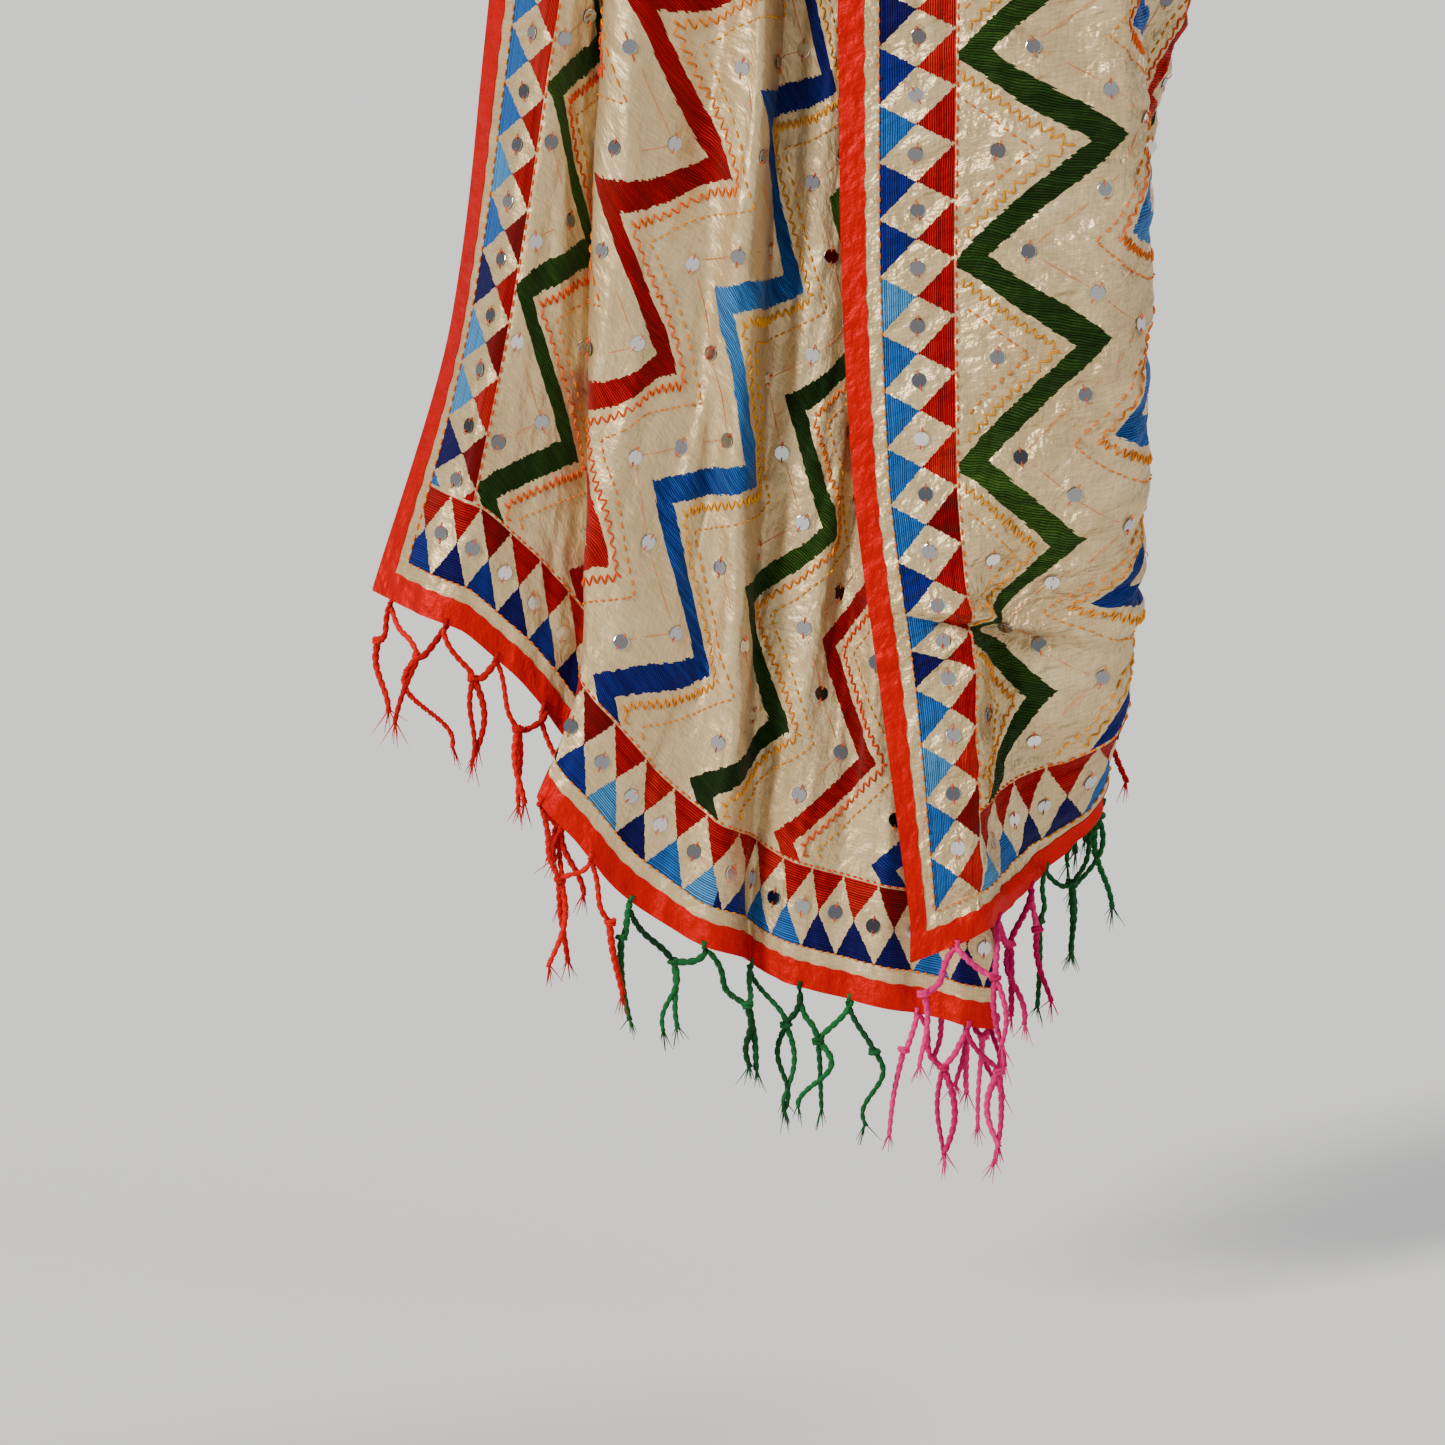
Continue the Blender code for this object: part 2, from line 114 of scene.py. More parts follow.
SIDE_FOLDS = np.array((
    (0, 0, 0, 0, 0, 102, 104, 112, 132, 153, 30, 30, 31, 33, 34),
    (84, 84, 84, 84, 84, 182, 181, 183, 197, 202, 36, 36, 36, 34, 28),
    (130, 130, 130, 130, 130, 226, 224, 222, 210, 221, 40, 40, 36, 2, -10),
    (192, 192, 192, 192, 192, 300, 292, 275, 249, 243, 34, 34, 30, -2, -50),
    (226, 226, 226, 226, 226, 308, 310, 307, 287, 256, 16, 18, 14, -10, -74),
    (250, 252, 256, 262, 270, 311, 316, 316, 307, 275, -6, 0, -6, -30, -100),
    (290, 290, 295, 300, 310, 300, 306, 304, 292, 262, -42, -38, -42, -62, -120),
    (400, 400, 390, 380, 380, 351, 308, 304, 292, 255, -84, -94, -96, -104, -145),
    (470, 470, 465, 460, 460, 300, 286, 282, 272, 244, -128, -128, -130, -134, -158),
    (570, 570, 570, 570, 570, 346, 322, 316, 304, 272, -155, -155, -155, -158, -178),
    (660, 660, 660, 660, 660, 288, 272, 268, 260, 238, -160, -160, -162, -166, -186),
    (760, 760, 760, 760, 760, 318, 304, 298, 286, 256, -222, -220, -218, -216, -226),
    (850, 850, 850, 850, 850, 262, 250, 246, 240, 222, -180, -182, -184, -188, -204),
    (940, 940, 940, 940, 940, 242, 236, 230, 224, 204, -250, -248, -246, -242, -244),
    (1030, 1030, 1030, 1030, 1030, 170, 168, 166, 162, 156, -258, -254, -250, -244, -240),
), dtype=float)
FRONT_END = np.array((
    (0, -888), (100, -909), (175, -947), (250, -992), (335, -1029), (420, -1085),
    (500, -1127), (600, -1155), (720, -1174), (848, -1193), (1030, -1165),
), dtype=float)
SIDE_END = np.array((
    (0, -1137), (84, -1118), (134, -1107), (192, -1091), (212, -1084), (251, -1062),
    (270, -1040), (310, -1022), (370, -1004), (500, -960), (700, -915), (1030, -870),
), dtype=float)

# %% [markdown]
# Above the two falls the cloth is gathered: it climbs to the shoulder, hangs in a loop
# behind, and comes back over the outer side. Each row is a line across the cloth, from the
# left-hand selvedge to the right-hand one, and the last column is how deep its pleats are.
# They are deeper than the CAD part's, since thin cloth can lie closer than a thick wall.

# %% The lines over the shoulder
WRAP_LINES = np.array((
    (184, -16, -304, 160, -122, -288, 58, -142, -264, -34, -142, -250, 9),
    (138, -72, -110, 106, -104, -94, 62, -112, -78, 20, -108, -64, 13),
    (128, 0, 12, 96, 0, 22, 62, 0, 34, 30, 6, 48, 15),
    (134, 58, -16, 102, 94, -76, 62, 108, -94, 22, 106, -80, 13),
    (138, 68, -36, 114, 118, -158, 78, 140, -226, 36, 148, -262, 15),
    (142, 70, -40, 142, 124, -182, 132, 150, -272, 112, 160, -338, 16),
    (146, 68, -36, 170, 116, -160, 188, 138, -232, 198, 142, -284, 15),
    (150, 58, -22, 184, 88, -90, 216, 92, -132, 248, 80, -160, 13),
    (152, 0, 8, 184, 0, -8, 216, 0, -36, 246, -4, -70, 15),
    (156, -112, -100, 206, -104, -120, 250, -80, -150, 276, -34, -172, 12),
    (128, -184, -262, 276, -124, -276, 300, -30, -290, 252, 60, -300, 8),
), dtype=float)
PLEATS = np.array((
    (30, 0.8), (130, 0.9), (222, 1.1), (312, 1.0), (420, 0.8), (520, 1.1),
    (610, 0.9), (700, 1.2), (785, 1.0), (870, 0.9), (960, 1.0),
))

# %% [markdown]
# A curve that passes through a table's points without swinging past them keeps each fold
# where it was put. Its slope at a point is the harmonic mean of the steps on either side,
# and level where the curve turns back.

# %% Curves through the tables
def gentle_slope(before, after):
    """The slope at a point between two steps: their harmonic mean, level at a turn."""
    total = np.where(before + after == 0, 1, before + after)
    return np.where(before * after > 0, 2 * before * after / total, 0)


def eased(start, stop, leave, reach, share):
    """Between start and stop, with the slopes leave and reach there."""
    step = stop - start
    return (
        start
        + share * leave
        + share**2 * (3 * step - 2 * leave - reach)
        + share**3 * (leave + reach - 2 * step)
    )


def along_rows(rows, place):
    """A smooth curve through rows[0], rows[1]..., read at `place` in row numbers."""
    last = len(rows) - 1
    place = np.clip(place, 0, last)
    start = np.minimum(place.astype(int), last - 1)
    share = place - start
    near = [
        np.take_along_axis(rows, np.clip(start + step, 0, last)[None], axis=0)[0]
        for step in (-1, 0, 1, 2)
    ]
    step = near[2] - near[1]
    leave = gentle_slope(near[1] - near[0], step)
    reach = gentle_slope(step, near[3] - near[2])
    leave = np.where(start == 0, step, leave)
    reach = np.where(start == last - 1, step, reach)
    return eased(near[1], near[2], leave, reach, share)


def folds_at(folds, heights, fold, height):
    """(across, sideways, forward) in metres at fold numbers and heights."""
    count = len(heights)
    level = (height / MM - heights[0]) / (heights[1] - heights[0])
    found = []
    for part in range(3):
        columns = folds[:, part * count:(part + 1) * count]
        lines = [
            along_rows(
                np.broadcast_to(line[:, None, None], (count, *level.shape)), level
            )
            for line in columns
        ]
        found.append(along_rows(np.array(lines), fold) * MM)
    return found


def unit(vectors):
    return vectors / np.maximum(np.linalg.norm(vectors, axis=-1, keepdims=True), 1e-12)


def outward(points):
    """Unit normals of a grid: along its columns, times along its rows."""
    return unit(np.cross(np.gradient(points, axis=1), np.gradient(points, axis=0)))


def blurred(grid, spread, axis):
    """The grid blurred along one axis by a bell of `spread` steps; its ends stay."""
    reach = int(3 * spread) + 1
    bell = np.exp(-0.5 * (np.arange(-reach, reach + 1) / spread) ** 2)
    bell /= bell.sum()
    pad = [(0, 0)] * grid.ndim
    pad[axis] = (reach, reach)
    wide = np.pad(grid, pad, mode="reflect", reflect_type="odd")
    count = grid.shape[axis]
    return sum(
        weight * np.take(wide, range(k, k + count), axis=axis)
        for k, weight in enumerate(bell)
    )

# %% [markdown]
# One grid of points carries the whole cloth: the front fall from its end up, the gathered
# span, and the side fall down to its end. Every row has the same places across the cloth,
# so the pieces that are cut from this grid meet exactly.

# %% The grid of the whole cloth
COLUMNS = 222
FRONT_ROWS, SPAN_ROWS, SIDE_ROWS = 164, 150, 154
LEVELS = np.linspace(-1.24, FALL_TOP, 100)
FOLD_STEPS = 700
PLEAT_GAIN = 1.25
JOIN = 0.060  # the height below FALL_TOP from which the span takes its slope
SOFTENED = 1.6  # columns over which the table's folds are blurred
across = np.linspace(0, CLOTH_WIDTH, COLUMNS)


def body_front(height):
    """How far in front of the shoulder the body stands at a height."""
    return np.interp(height, FRONT_OF_BODY[:, 0] * MM, FRONT_OF_BODY[:, 1] * MM)


def level_sections(folds, heights, levels, places):
    """Points at every level and every place across the cloth."""
    level = np.asarray(levels)[:, None]
    shape = (len(levels), FOLD_STEPS)
    fold = np.broadcast_to(np.linspace(0, len(folds) - 1, FOLD_STEPS), shape)
    found, *ways = folds_at(folds, heights, fold, np.broadcast_to(level, shape))
    x, d = (
        np.array([np.interp(places, *row) for row in zip(found, way)]) for way in ways
    )
    z = np.broadcast_to(level, x.shape)
    return np.stack((x, -body_front(z) - d, z), axis=-1)


def fall_grid(folds, heights, end, places, rows):
    """A fall's points from its end (row 0) up to FALL_TOP."""
    sections = level_sections(folds, heights, LEVELS, places)
    low = np.interp(places, end[:, 0] * MM, end[:, 1] * MM)
    height = low + (FALL_TOP - low) * np.linspace(0, 1, rows)[:, None]
    level = (height - LEVELS[0]) / (LEVELS[1] - LEVELS[0])
    start = np.clip(level.astype(int), 0, len(LEVELS) - 2)
    share = (level - start)[..., None]
    column = np.arange(len(places))[None]
    return sections[start, column] * (1 - share) + sections[start + 1, column] * share


def pleat_wave(places):
    """1 on each pleat's crest and -1 between two, times the pleat's own depth."""
    number = np.interp(places / MM, PLEATS[:, 0], np.arange(len(PLEATS)))
    depth = np.interp(places / MM, PLEATS[:, 0], PLEATS[:, 1])
    return depth * np.cos(2 * np.pi * number)


def span_grid(rows):
    """The gathered cloth between the falls: a smooth surface through its lines."""
    place = 3 * (CLOTH_WIDTH - across) / CLOTH_WIDTH
    base = []
    for line in WRAP_LINES:
        corners = line[:12].reshape(4, 3) * MM
        spread = [np.broadcast_to(corners[:, [axis]], (4, COLUMNS)) for axis in range(3)]
        base.append(np.stack([along_rows(each, place) for each in spread], axis=-1))
    base = np.array(base)
    depth = WRAP_LINES[:, 12, None, None] * MM * PLEAT_GAIN
    lines = base + depth * outward(base) * pleat_wave(across)[:, None]
    ends = (FALL_TOP - JOIN, FALL_TOP)
    front = level_sections(FRONT_FOLDS, FRONT_HEIGHTS, ends, across)
    side = level_sections(SIDE_FOLDS, SIDE_HEIGHTS, ends, CLOTH_WIDTH - across[::-1])
    side = side[:, ::-1]
    lines = np.concatenate((front, lines, side[::-1]))
    chord = np.linalg.norm(np.diff(lines, axis=0), axis=-1).mean(axis=1)
    knots = np.concatenate(((0,), np.cumsum(chord)))
    slopes = np.gradient(lines, knots, axis=0)
    at = np.linspace(knots[1], knots[-2], rows)
    start = np.clip(np.searchsorted(knots, at, side="right") - 1, 1, len(lines) - 3)
    width = (knots[start + 1] - knots[start])[:, None, None]
    share = (at - knots[start])[:, None, None] / width
    leave, reach = slopes[start] * width, slopes[start + 1] * width
    return eased(lines[start], lines[start + 1], leave, reach, share)


front = fall_grid(FRONT_FOLDS, FRONT_HEIGHTS, FRONT_END, across, FRONT_ROWS)
side = fall_grid(SIDE_FOLDS, SIDE_HEIGHTS, SIDE_END, CLOTH_WIDTH - across, SIDE_ROWS)
grid = np.concatenate((front, span_grid(SPAN_ROWS)[1:-1], side[::-1]))
grid[..., 0] -= SHOULDER_ASIDE
FRONT_LAST = FRONT_ROWS - 1
SIDE_FIRST = len(grid) - SIDE_ROWS
grid = blurred(grid, SOFTENED, axis=1)
print("grid", grid.shape, "low", grid.min(axis=(0, 1)).round(3),
      "high", grid.max(axis=(0, 1)).round(3))

# %% [markdown]
# Lengths along the cloth are measured on the grid itself, from each end, so the border
# follows the end as it was cut. The span shares out what is left. On the side fall one
# sharp crease takes up a little length, as a fold does that has sagged over itself.

# %% Lengths along the cloth
TAKEN_UP = 0.028
SAG_BACK, SAG_LONG = 0.190, 0.050  # from the end to the crease, and over what length
SAG_ALONG = 2.388
step = np.linalg.norm(np.diff(grid, axis=0), axis=-1)
run = np.concatenate((np.zeros((1, COLUMNS)), np.cumsum(step, axis=0)))
back = run[-1] - run
sagged = TAKEN_UP * np.clip((back - SAG_BACK) / SAG_LONG, 0, 1)
front_top, side_top = run[FRONT_LAST], (back + sagged)[SIDE_FIRST]
share = (run - front_top) / (run[SIDE_FIRST] - front_top)
middle = front_top + share * (CLOTH_LENGTH - side_top - front_top)
along = np.where(share < 0, run, np.where(share > 1, CLOTH_LENGTH - back - sagged, middle))
print("length on the selvedges", run[-1, [0, -1]].round(3), "cut", CLOTH_LENGTH)

# %% [markdown]
# Real cloth is never as even as a table. Soft ridges and dents are laid along it:
# long ones in the smooth front, short level ones in the side fall, which looks handled and
# crumpled. A faint, uneven ripple joins them.

# %% Creases
CREASES = np.array((
    # s, t (from the front end), size across, size along, lean in degrees, height; in mm
    (130, 300, 16, 160, 10, 3.4), (160, 520, 14, 160, -8, -3.4), (70, 420, 13, 150, 6, 2.6),
    (262, 330, 12, 200, 5, 4.0), (300, 560, 11, 180, 8, -3.8), (372, 250, 12, 210, 4, 4.2),
    (420, 480, 12, 190, 6, -4.2), (455, 300, 10, 160, -6, 3.2), (540, 380, 13, 220, 5, 4.6),
    (600, 260, 13, 150, -8, -3.4), (660, 480, 14, 200, 6, 4.8), (720, 230, 14, 140, 4, 3.2),
    (790, 420, 13, 190, -5, -4.0), (880, 330, 14, 200, 6, 4.0), (960, 470, 14, 180, 4, 4.0),
    (580, 520, 9, 130, 4, -3.6), (340, 620, 8, 120, 2, 3.4), (710, 600, 9, 110, 3, -3.4),
    (500, 600, 8, 120, -3, 3.4), (840, 600, 9, 110, 2, 3.2), (220, 600, 8, 110, 2, 3.0),
    (930, 2385, 160, 8, -22, 10.0), (930, 2399, 160, 6, -22, -9.5), (860, 2408, 60, 6, -14, 2.0),
    (1000, 2400, 40, 6, 4, 3.0), (880, 2330, 60, 9, 14, 2.2), (960, 2262, 50, 8, -12, -2.0),
    (850, 2212, 48, 8, 10, 2.0), (920, 2140, 54, 9, -8, 2.2), (980, 2080, 40, 8, 12, -2.0),
    (860, 2052, 52, 9, 8, 2.4), (930, 1990, 60, 8, -6, 2.4), (890, 1962, 64, 8, 10, -2.2),
    (830, 2140, 40, 9, 20, -2.0), (830, 2290, 44, 9, -16, 2.0), (900, 2500, 50, 10, 8, 2.0),
    (870, 2446, 46, 8, 30, -2.2), (960, 2360, 36, 8, -24, 1.8), (1005, 2190, 18, 26, 0, 1.4),
    (800, 2400, 26, 40, 30, 2.0), (770, 2200, 20, 90, 10, 2.4), (940, 1900, 50, 9, 6, 2.2),
), dtype=float)
RIPPLES = (
    # height, how tight it is across and along, size, seed
    (0.0033, 0.6, 1.5, 0.060, 3),
    (0.0014, 1.0, 1.3, 0.026, 4),
    (0.0017, 1.8, 0.30, 0.055, 5),
    (0.0050, 1.2, 0.12, 0.042, 6),
)
CALM_EDGE, CALM_FADE, CALM_LEAST = 0.020, 0.03, 0.16
SAG_SPREAD, SAG_LEAST = 0.030, 0.55
CRUMPLED_FROM, GATHERED_FROM, GATHERED_TO = 1.70, 0.56, 2.10
SMOOTH_NORMALS = 0.8


def ripple(u, v, size, seed):
    """An uneven ripple from -1 to 1: a few slanted sines whose phases bend each other."""
    turn = np.random.default_rng(seed).uniform(0, 6.28, 6)
    a = np.sin(2 * np.pi * (u * 0.8 + v * 0.6) / size + turn[0])
    b = np.sin(2 * np.pi * (u * 0.9 - v * 0.5) / (size * 1.37) + turn[1] + 1.3 * a)
    c = np.sin(2 * np.pi * (v + 0.2 * u) / (size * 0.71) + turn[2] + 1.1 * b)
    return (a + b + c * 0.8) / 2.8


def crease_height(s, t):
    """How far creases lift the cloth, in metres."""
    lift = np.zeros(s.shape)
    for place, length, wide, long, lean, high in CREASES * MM:
        angle = math.radians(lean / MM)
        u = (s - place) * math.cos(angle) + (t - length) * math.sin(angle)
        v = (t - length) * math.cos(angle) - (s - place) * math.sin(angle)
        u = u + 0.10 * long * np.sin(v / long * 2.2) if long > wide else u
        v = v + 0.9 * long * np.sin(u / wide * 2.6) if long < wide else v
        lift += high * np.exp(-((u / wide) ** 2) - (v / long) ** 2)
    crumpled = np.clip((t - CRUMPLED_FROM) / 0.15, 0, 1)
    gathered = np.clip((t - GATHERED_FROM) / 0.16, 0, 1)
    gathered = gathered * np.clip((GATHERED_TO - t) / 0.16, 0, 1)
    shares = (crumpled, crumpled, 1 - crumpled, gathered)
    for share, (high, wide, long, size, seed) in zip(shares, RIPPLES):
        lift += high * share * ripple(s * wide, t * long, size, seed)
    return lift


across_grid = np.broadcast_to(across, along.shape)
from_edge = np.minimum(across_grid, CLOTH_WIDTH - across_grid)
calm = np.clip((from_edge - CALM_EDGE) / CALM_FADE, CALM_LEAST, 1)
calm = np.maximum(calm, SAG_LEAST * np.exp(-(((along - SAG_ALONG) / SAG_SPREAD) ** 2)))
lifts = crease_height(across_grid, along)
grid = grid + outward(grid) * (lifts * calm)[..., None]
normals = unit(blurred(outward(grid), SMOOTH_NORMALS, axis=1))
print("creases lift by", (lifts.min() / MM).round(1), "to", (lifts.max() / MM).round(1), "mm")

# %% [markdown]
# Every stitch, sequin and strand needs a point on the cloth. The grid is read again at even
# lengths along each column, so that any `s` and `t` give a point and the way the face
# looks there.

# %% A point anywhere on the cloth
EVEN = 0.002
even_along = np.arange(0, CLOTH_LENGTH + EVEN, EVEN)


def evenly(field):
    """A field of the grid, read at the even lengths along each column."""
    return np.stack([
        np.stack([
            np.interp(even_along, along[:, j], field[:, j, axis]) for j in range(COLUMNS)
        ], axis=1)
        for axis in range(3)
    ], axis=-1)


even, even_normal = evenly(grid), unit(evenly(normals))


def read(field, s, t):
    """A field of the even grid at lengths s and t, between its four nearest points."""
    row = np.clip(t / EVEN, 0, len(field) - 1.001)
    column = np.clip(s / CLOTH_WIDTH * (COLUMNS - 1), 0, COLUMNS - 1.001)
    i, j = row.astype(int), column.astype(int)
    a, b = (row - i)[..., None], (column - j)[..., None]
    return (
        field[i, j] * (1 - a) * (1 - b) + field[i + 1, j] * a * (1 - b)
        + field[i, j + 1] * (1 - a) * b + field[i + 1, j + 1] * a * b
    )


def lay(s, t, lift=0.0):
    """Points on the face at s and t, raised by lift."""
    s, t, lift = (np.asarray(given, float) for given in (s, t, lift))
    return read(even, s, t) + read(even_normal, s, t) * lift[..., None]


def facing_at(s, t):
    """The way the face looks at s and t."""
    return unit(read(even_normal, s, t))


print("even grid", even.shape)

# %% [markdown]
# A closed shell is made from a grid of points and two distances from it, so the cloth has
# an inside and an outside and real, closed edges. The cloth keeps its `s` and `t` as UV,
# and the materials draw the embroidery from them.

# %% Shells and pieces
def placed(name, data):
    """An object with this mesh, lamp or camera, in the scene."""
    obj = bpy.data.objects.new(name, data)
    bpy.context.collection.objects.link(obj)
    return obj


def piece(name, points, faces, uv=None, tint=None):
    """A mesh object from arrays of points and faces, with UV and tint if given."""
    mesh = bpy.data.meshes.new(name)
    faces = np.asarray(faces)
    mesh.vertices.add(len(points))
    mesh.vertices.foreach_set("co", np.asarray(points, np.float32).ravel())
    mesh.loops.add(faces.size)
    mesh.loops.foreach_set("vertex_index", faces.ravel().astype(np.int32))
    mesh.polygons.add(len(faces))
    mesh.polygons.foreach_set("loop_start", np.arange(0, faces.size, faces.shape[1]))
    mesh.polygons.foreach_set("use_smooth", np.ones(len(faces), bool))
    mesh.update(calc_edges=True)
    if uv is not None:
        layer = mesh.uv_layers.new(name="cloth")
        layer.uv.foreach_set("vector", np.asarray(uv, np.float32)[faces.ravel()].ravel())
    if tint is not None:
        made = mesh.attributes.new("tint", "FLOAT", "POINT")
        made.data.foreach_set("value", np.asarray(tint, np.float32))
    return placed(name, mesh)


def shell(name, points, face_normals, low, high, uv):
    """A closed wall on a grid: one face `high` out along the normals, one at `low`."""
    rows, cols = points.shape[:2]
    number = np.arange(rows * cols).reshape(rows, cols)
    quads = np.stack(
        (number[:-1, :-1], number[:-1, 1:], number[1:, 1:], number[1:, :-1]), axis=-1
    ).reshape(-1, 4)
    rim = np.concatenate((
        number[0, :], number[1:, -1], number[-1, -2::-1], number[-2:0:-1, 0],
    ))
    ahead, under = np.roll(rim, -1), rows * cols
    edge = np.stack((ahead, rim, rim + under, ahead + under), axis=1)
    faces = np.concatenate((quads, quads[:, ::-1] + under, edge))
    both = np.concatenate((
        (points + face_normals * high).reshape(-1, 3),
        (points + face_normals * low).reshape(-1, 3),
    ))
    flat = uv.reshape(-1, 2)
    obj = piece(name, both, faces, np.concatenate((flat, flat)))
    ends = np.empty(len(obj.data.edges) * 2, np.int32)
    obj.data.edges.foreach_get("vertices", ends)
    ends = ends.reshape(-1, 2)
    on_rim = np.zeros(len(both), bool)
    on_rim[rim] = on_rim[rim + under] = True
    same_face = (ends[:, 0] < under) == (ends[:, 1] < under)
    made = obj.data.attributes.new("sharp_edge", "BOOLEAN", "EDGE")
    made.data.foreach_set("value", on_rim[ends].all(axis=1) & same_face)
    return obj


uv_grid = np.stack((across_grid, along), axis=-1)
CLOTH_HALF = 0.00030
stretches = {
    "front": slice(0, FRONT_LAST + 1),
    "span": slice(FRONT_LAST, SIDE_FIRST + 1),
    "side": slice(SIDE_FIRST, len(grid)),
}
cloths = {
    name: shell(
        f"{name}_cloth_shown", grid[rows], normals[rows], -CLOTH_HALF, CLOTH_HALF,
        uv_grid[rows],
    )
    for name, rows in stretches.items()
}
print({name: len(obj.data.polygons) for name, obj in cloths.items()})

# %% [markdown]
# A ribbon of red tape is folded over every edge: half on the face, half behind. Here it is
# a slightly thicker shell around the outermost 18 mm, a little wavy where the needle has
# drawn it in.

# %% The red tape
TAPE = 0.018
TAPE_HALF = 0.00095
TAPE_REACH = 0.0006
END_TAPE_OVER = 0.0001
TAPE_STEPS, TAPE_COLUMNS = 260, 6


def tape(name, s, t, rim, within, half):
    """A tape at arrays of s and t, whose `rim` reaches a little past the cloth's edge."""
    points = read(even, s, t)
    points[rim] += unit(points[rim] - points[within]) * TAPE_REACH
    return shell(name, points, facing_at(s, t), -half, half, np.stack((s, t), axis=-1))


def selvedge_tape(name, rows, right):
    """A tape along one selvedge for the rows of one stretch."""
    t = along[rows][:, 0 if right else -1]
    t = np.interp(np.linspace(0, 1, TAPE_STEPS), np.linspace(0, 1, len(t)), t)[:, None]
    drawn = 0.0005 * np.sin(t / 0.0065 * 2.1) + 0.0003 * np.sin(t / 0.0041)
    inward = (TAPE + drawn) * np.linspace(0, 1, TAPE_COLUMNS)
    t = np.broadcast_to(t, inward.shape)
    if right:
        return tape(name, inward, t, np.s_[:, 0], np.s_[:, 1], TAPE_HALF)
    s = CLOTH_WIDTH - inward[:, ::-1]
    return tape(name, s, t, np.s_[:, -1], np.s_[:, -2], TAPE_HALF)


def end_tape(name, at_start):
    """The tape along one end of the cloth, over the ends of the other two."""
    s = np.linspace(0, CLOTH_WIDTH, TAPE_STEPS)
    drawn = 0.0005 * np.sin(s / 0.0062 * 2.0)
    inward = (TAPE + drawn) * np.linspace(0, 1, TAPE_COLUMNS)[:, None]
    s = np.broadcast_to(s, inward.shape)
    half = TAPE_HALF + END_TAPE_OVER
    if at_start:
        return tape(name, s, inward, 0, 1, half)
    return tape(name, s, CLOTH_LENGTH - inward[::-1], -1, -2, half)


tapes = {}
for name, rows in stretches.items():
    for where in ("right", "left"):
        label = f"{name}_{where}_tape_shown"
        tapes[name, where] = selvedge_tape(label, rows, where == "right")
tapes["front", "end"] = end_tape("front_end_tape_shown", True)
tapes["side", "end"] = end_tape("side_end_tape_shown", False)
print(len(tapes), "tapes")

# %% [markdown]
# Running stitches, small zigzag stitches and the threads of the sequins are all short
# pieces of yarn that dive into the cloth at both ends. One formula makes them: a thin
# spindle along a short line on the cloth, higher in the middle.

# %% Spindles of thread
def rings(centre, aside, up, turn, wide):
    """A ring of points about each centre, in the plane of two directions."""
    return (
        centre[..., None, :]
        + aside[..., None, :] * (np.cos(turn) * wide)[..., None]
        + up[..., None, :] * (np.sin(turn) * wide)[..., None]
    )


def tube_faces(base):
    """Triangles between the rings whose points have the numbers base[tube, ring]."""
    turned = np.roll(base, -1, axis=2)
    quads = np.stack(
        (base[:, :-1], base[:, 1:], turned[:, 1:], turned[:, :-1]), axis=-1
    ).reshape(-1, 4)
    return np.concatenate((quads[:, [0, 1, 2]], quads[:, [0, 2, 3]]))


def stitches(name, starts, stops, radius, tint, bow=0.0):
    """One mesh of spindles, each from a start to its stop and arched up by `bow`."""
    part = np.array((0.0, 0.16, 0.5, 0.84, 1.0))
    girth = np.array((0.35, 0.9, 1.05, 0.9, 0.35)) * radius
    rise = np.array((-0.2, 0.5, 0.9, 0.5, -0.2)) * radius + CLOTH_HALF
    arch = np.array((0.0, 0.9, 1.0, 0.9, 0.3)) * bow
    line = starts[:, None] + (stops - starts)[:, None] * part[:, None]
    s, t = line[..., 0], line[..., 1]
    centre = lay(s, t, np.broadcast_to(rise, s.shape))
    heading = unit(np.gradient(centre, axis=1))
    sideways = unit(np.cross(heading, facing_at(s, t)))
    up = np.cross(sideways, heading)
    turn = np.linspace(0, 2 * np.pi, 3, endpoint=False) + np.pi / 2
    ring = rings(centre, sideways, up, turn, girth[:, None])
    middle = 0.5 * (starts + stops)
    ring += facing_at(*middle.T)[:, None, None] * arch[:, None, None]
    base = np.arange(ring[..., 0].size).reshape(ring.shape[:3])
    faces = np.concatenate((tube_faces(base), base[:, 0], base[:, -1, ::-1]))
    return piece(name, ring.reshape(-1, 3), faces, tint=np.repeat(tint, base[0].size))

# %% [markdown]
# Beside each band run small zigzag stitches, and beyond them a line of running stitches.
# Two more such lines go round the whole cloth, one on each side of the border.

# %% Stitches
STITCH_GIRTH = 0.00092
BANDS = 7
BAND_FIRST, BAND_STEP, BAND_SWING, BAND_PERIOD = 0.140, 0.125, 0.044, 0.140
BAND_TIP = 0.097
LINE_ASIDE, SMALL_ASIDE = 0.045, 0.025
SMALL_STEP, SMALL_HALF = 0.0026, 0.0031
# The border's lines and the field's edge, in millimetres from the cloth's edge.
BORDER_FROM, BORDER_MIDDLE, BORDER_TO, FIELD_FROM = 28.5, 56.0, 84.0, 86.0
INNER = 0.0855
# A running stitch: its length, the gap after it, and how uneven both are.
LINE_STITCH, BORDER_STITCH = (0.0048, 0.0026, 0.0004), (0.0046, 0.0030, 0.0003)


def zigzag(t):
    """From -1 to 1 along the cloth: -1 at the tips towards the right-hand selvedge."""
    return 1 - 4 * np.abs(((t - BAND_TIP) / BAND_PERIOD) % 1.0 - 0.5)


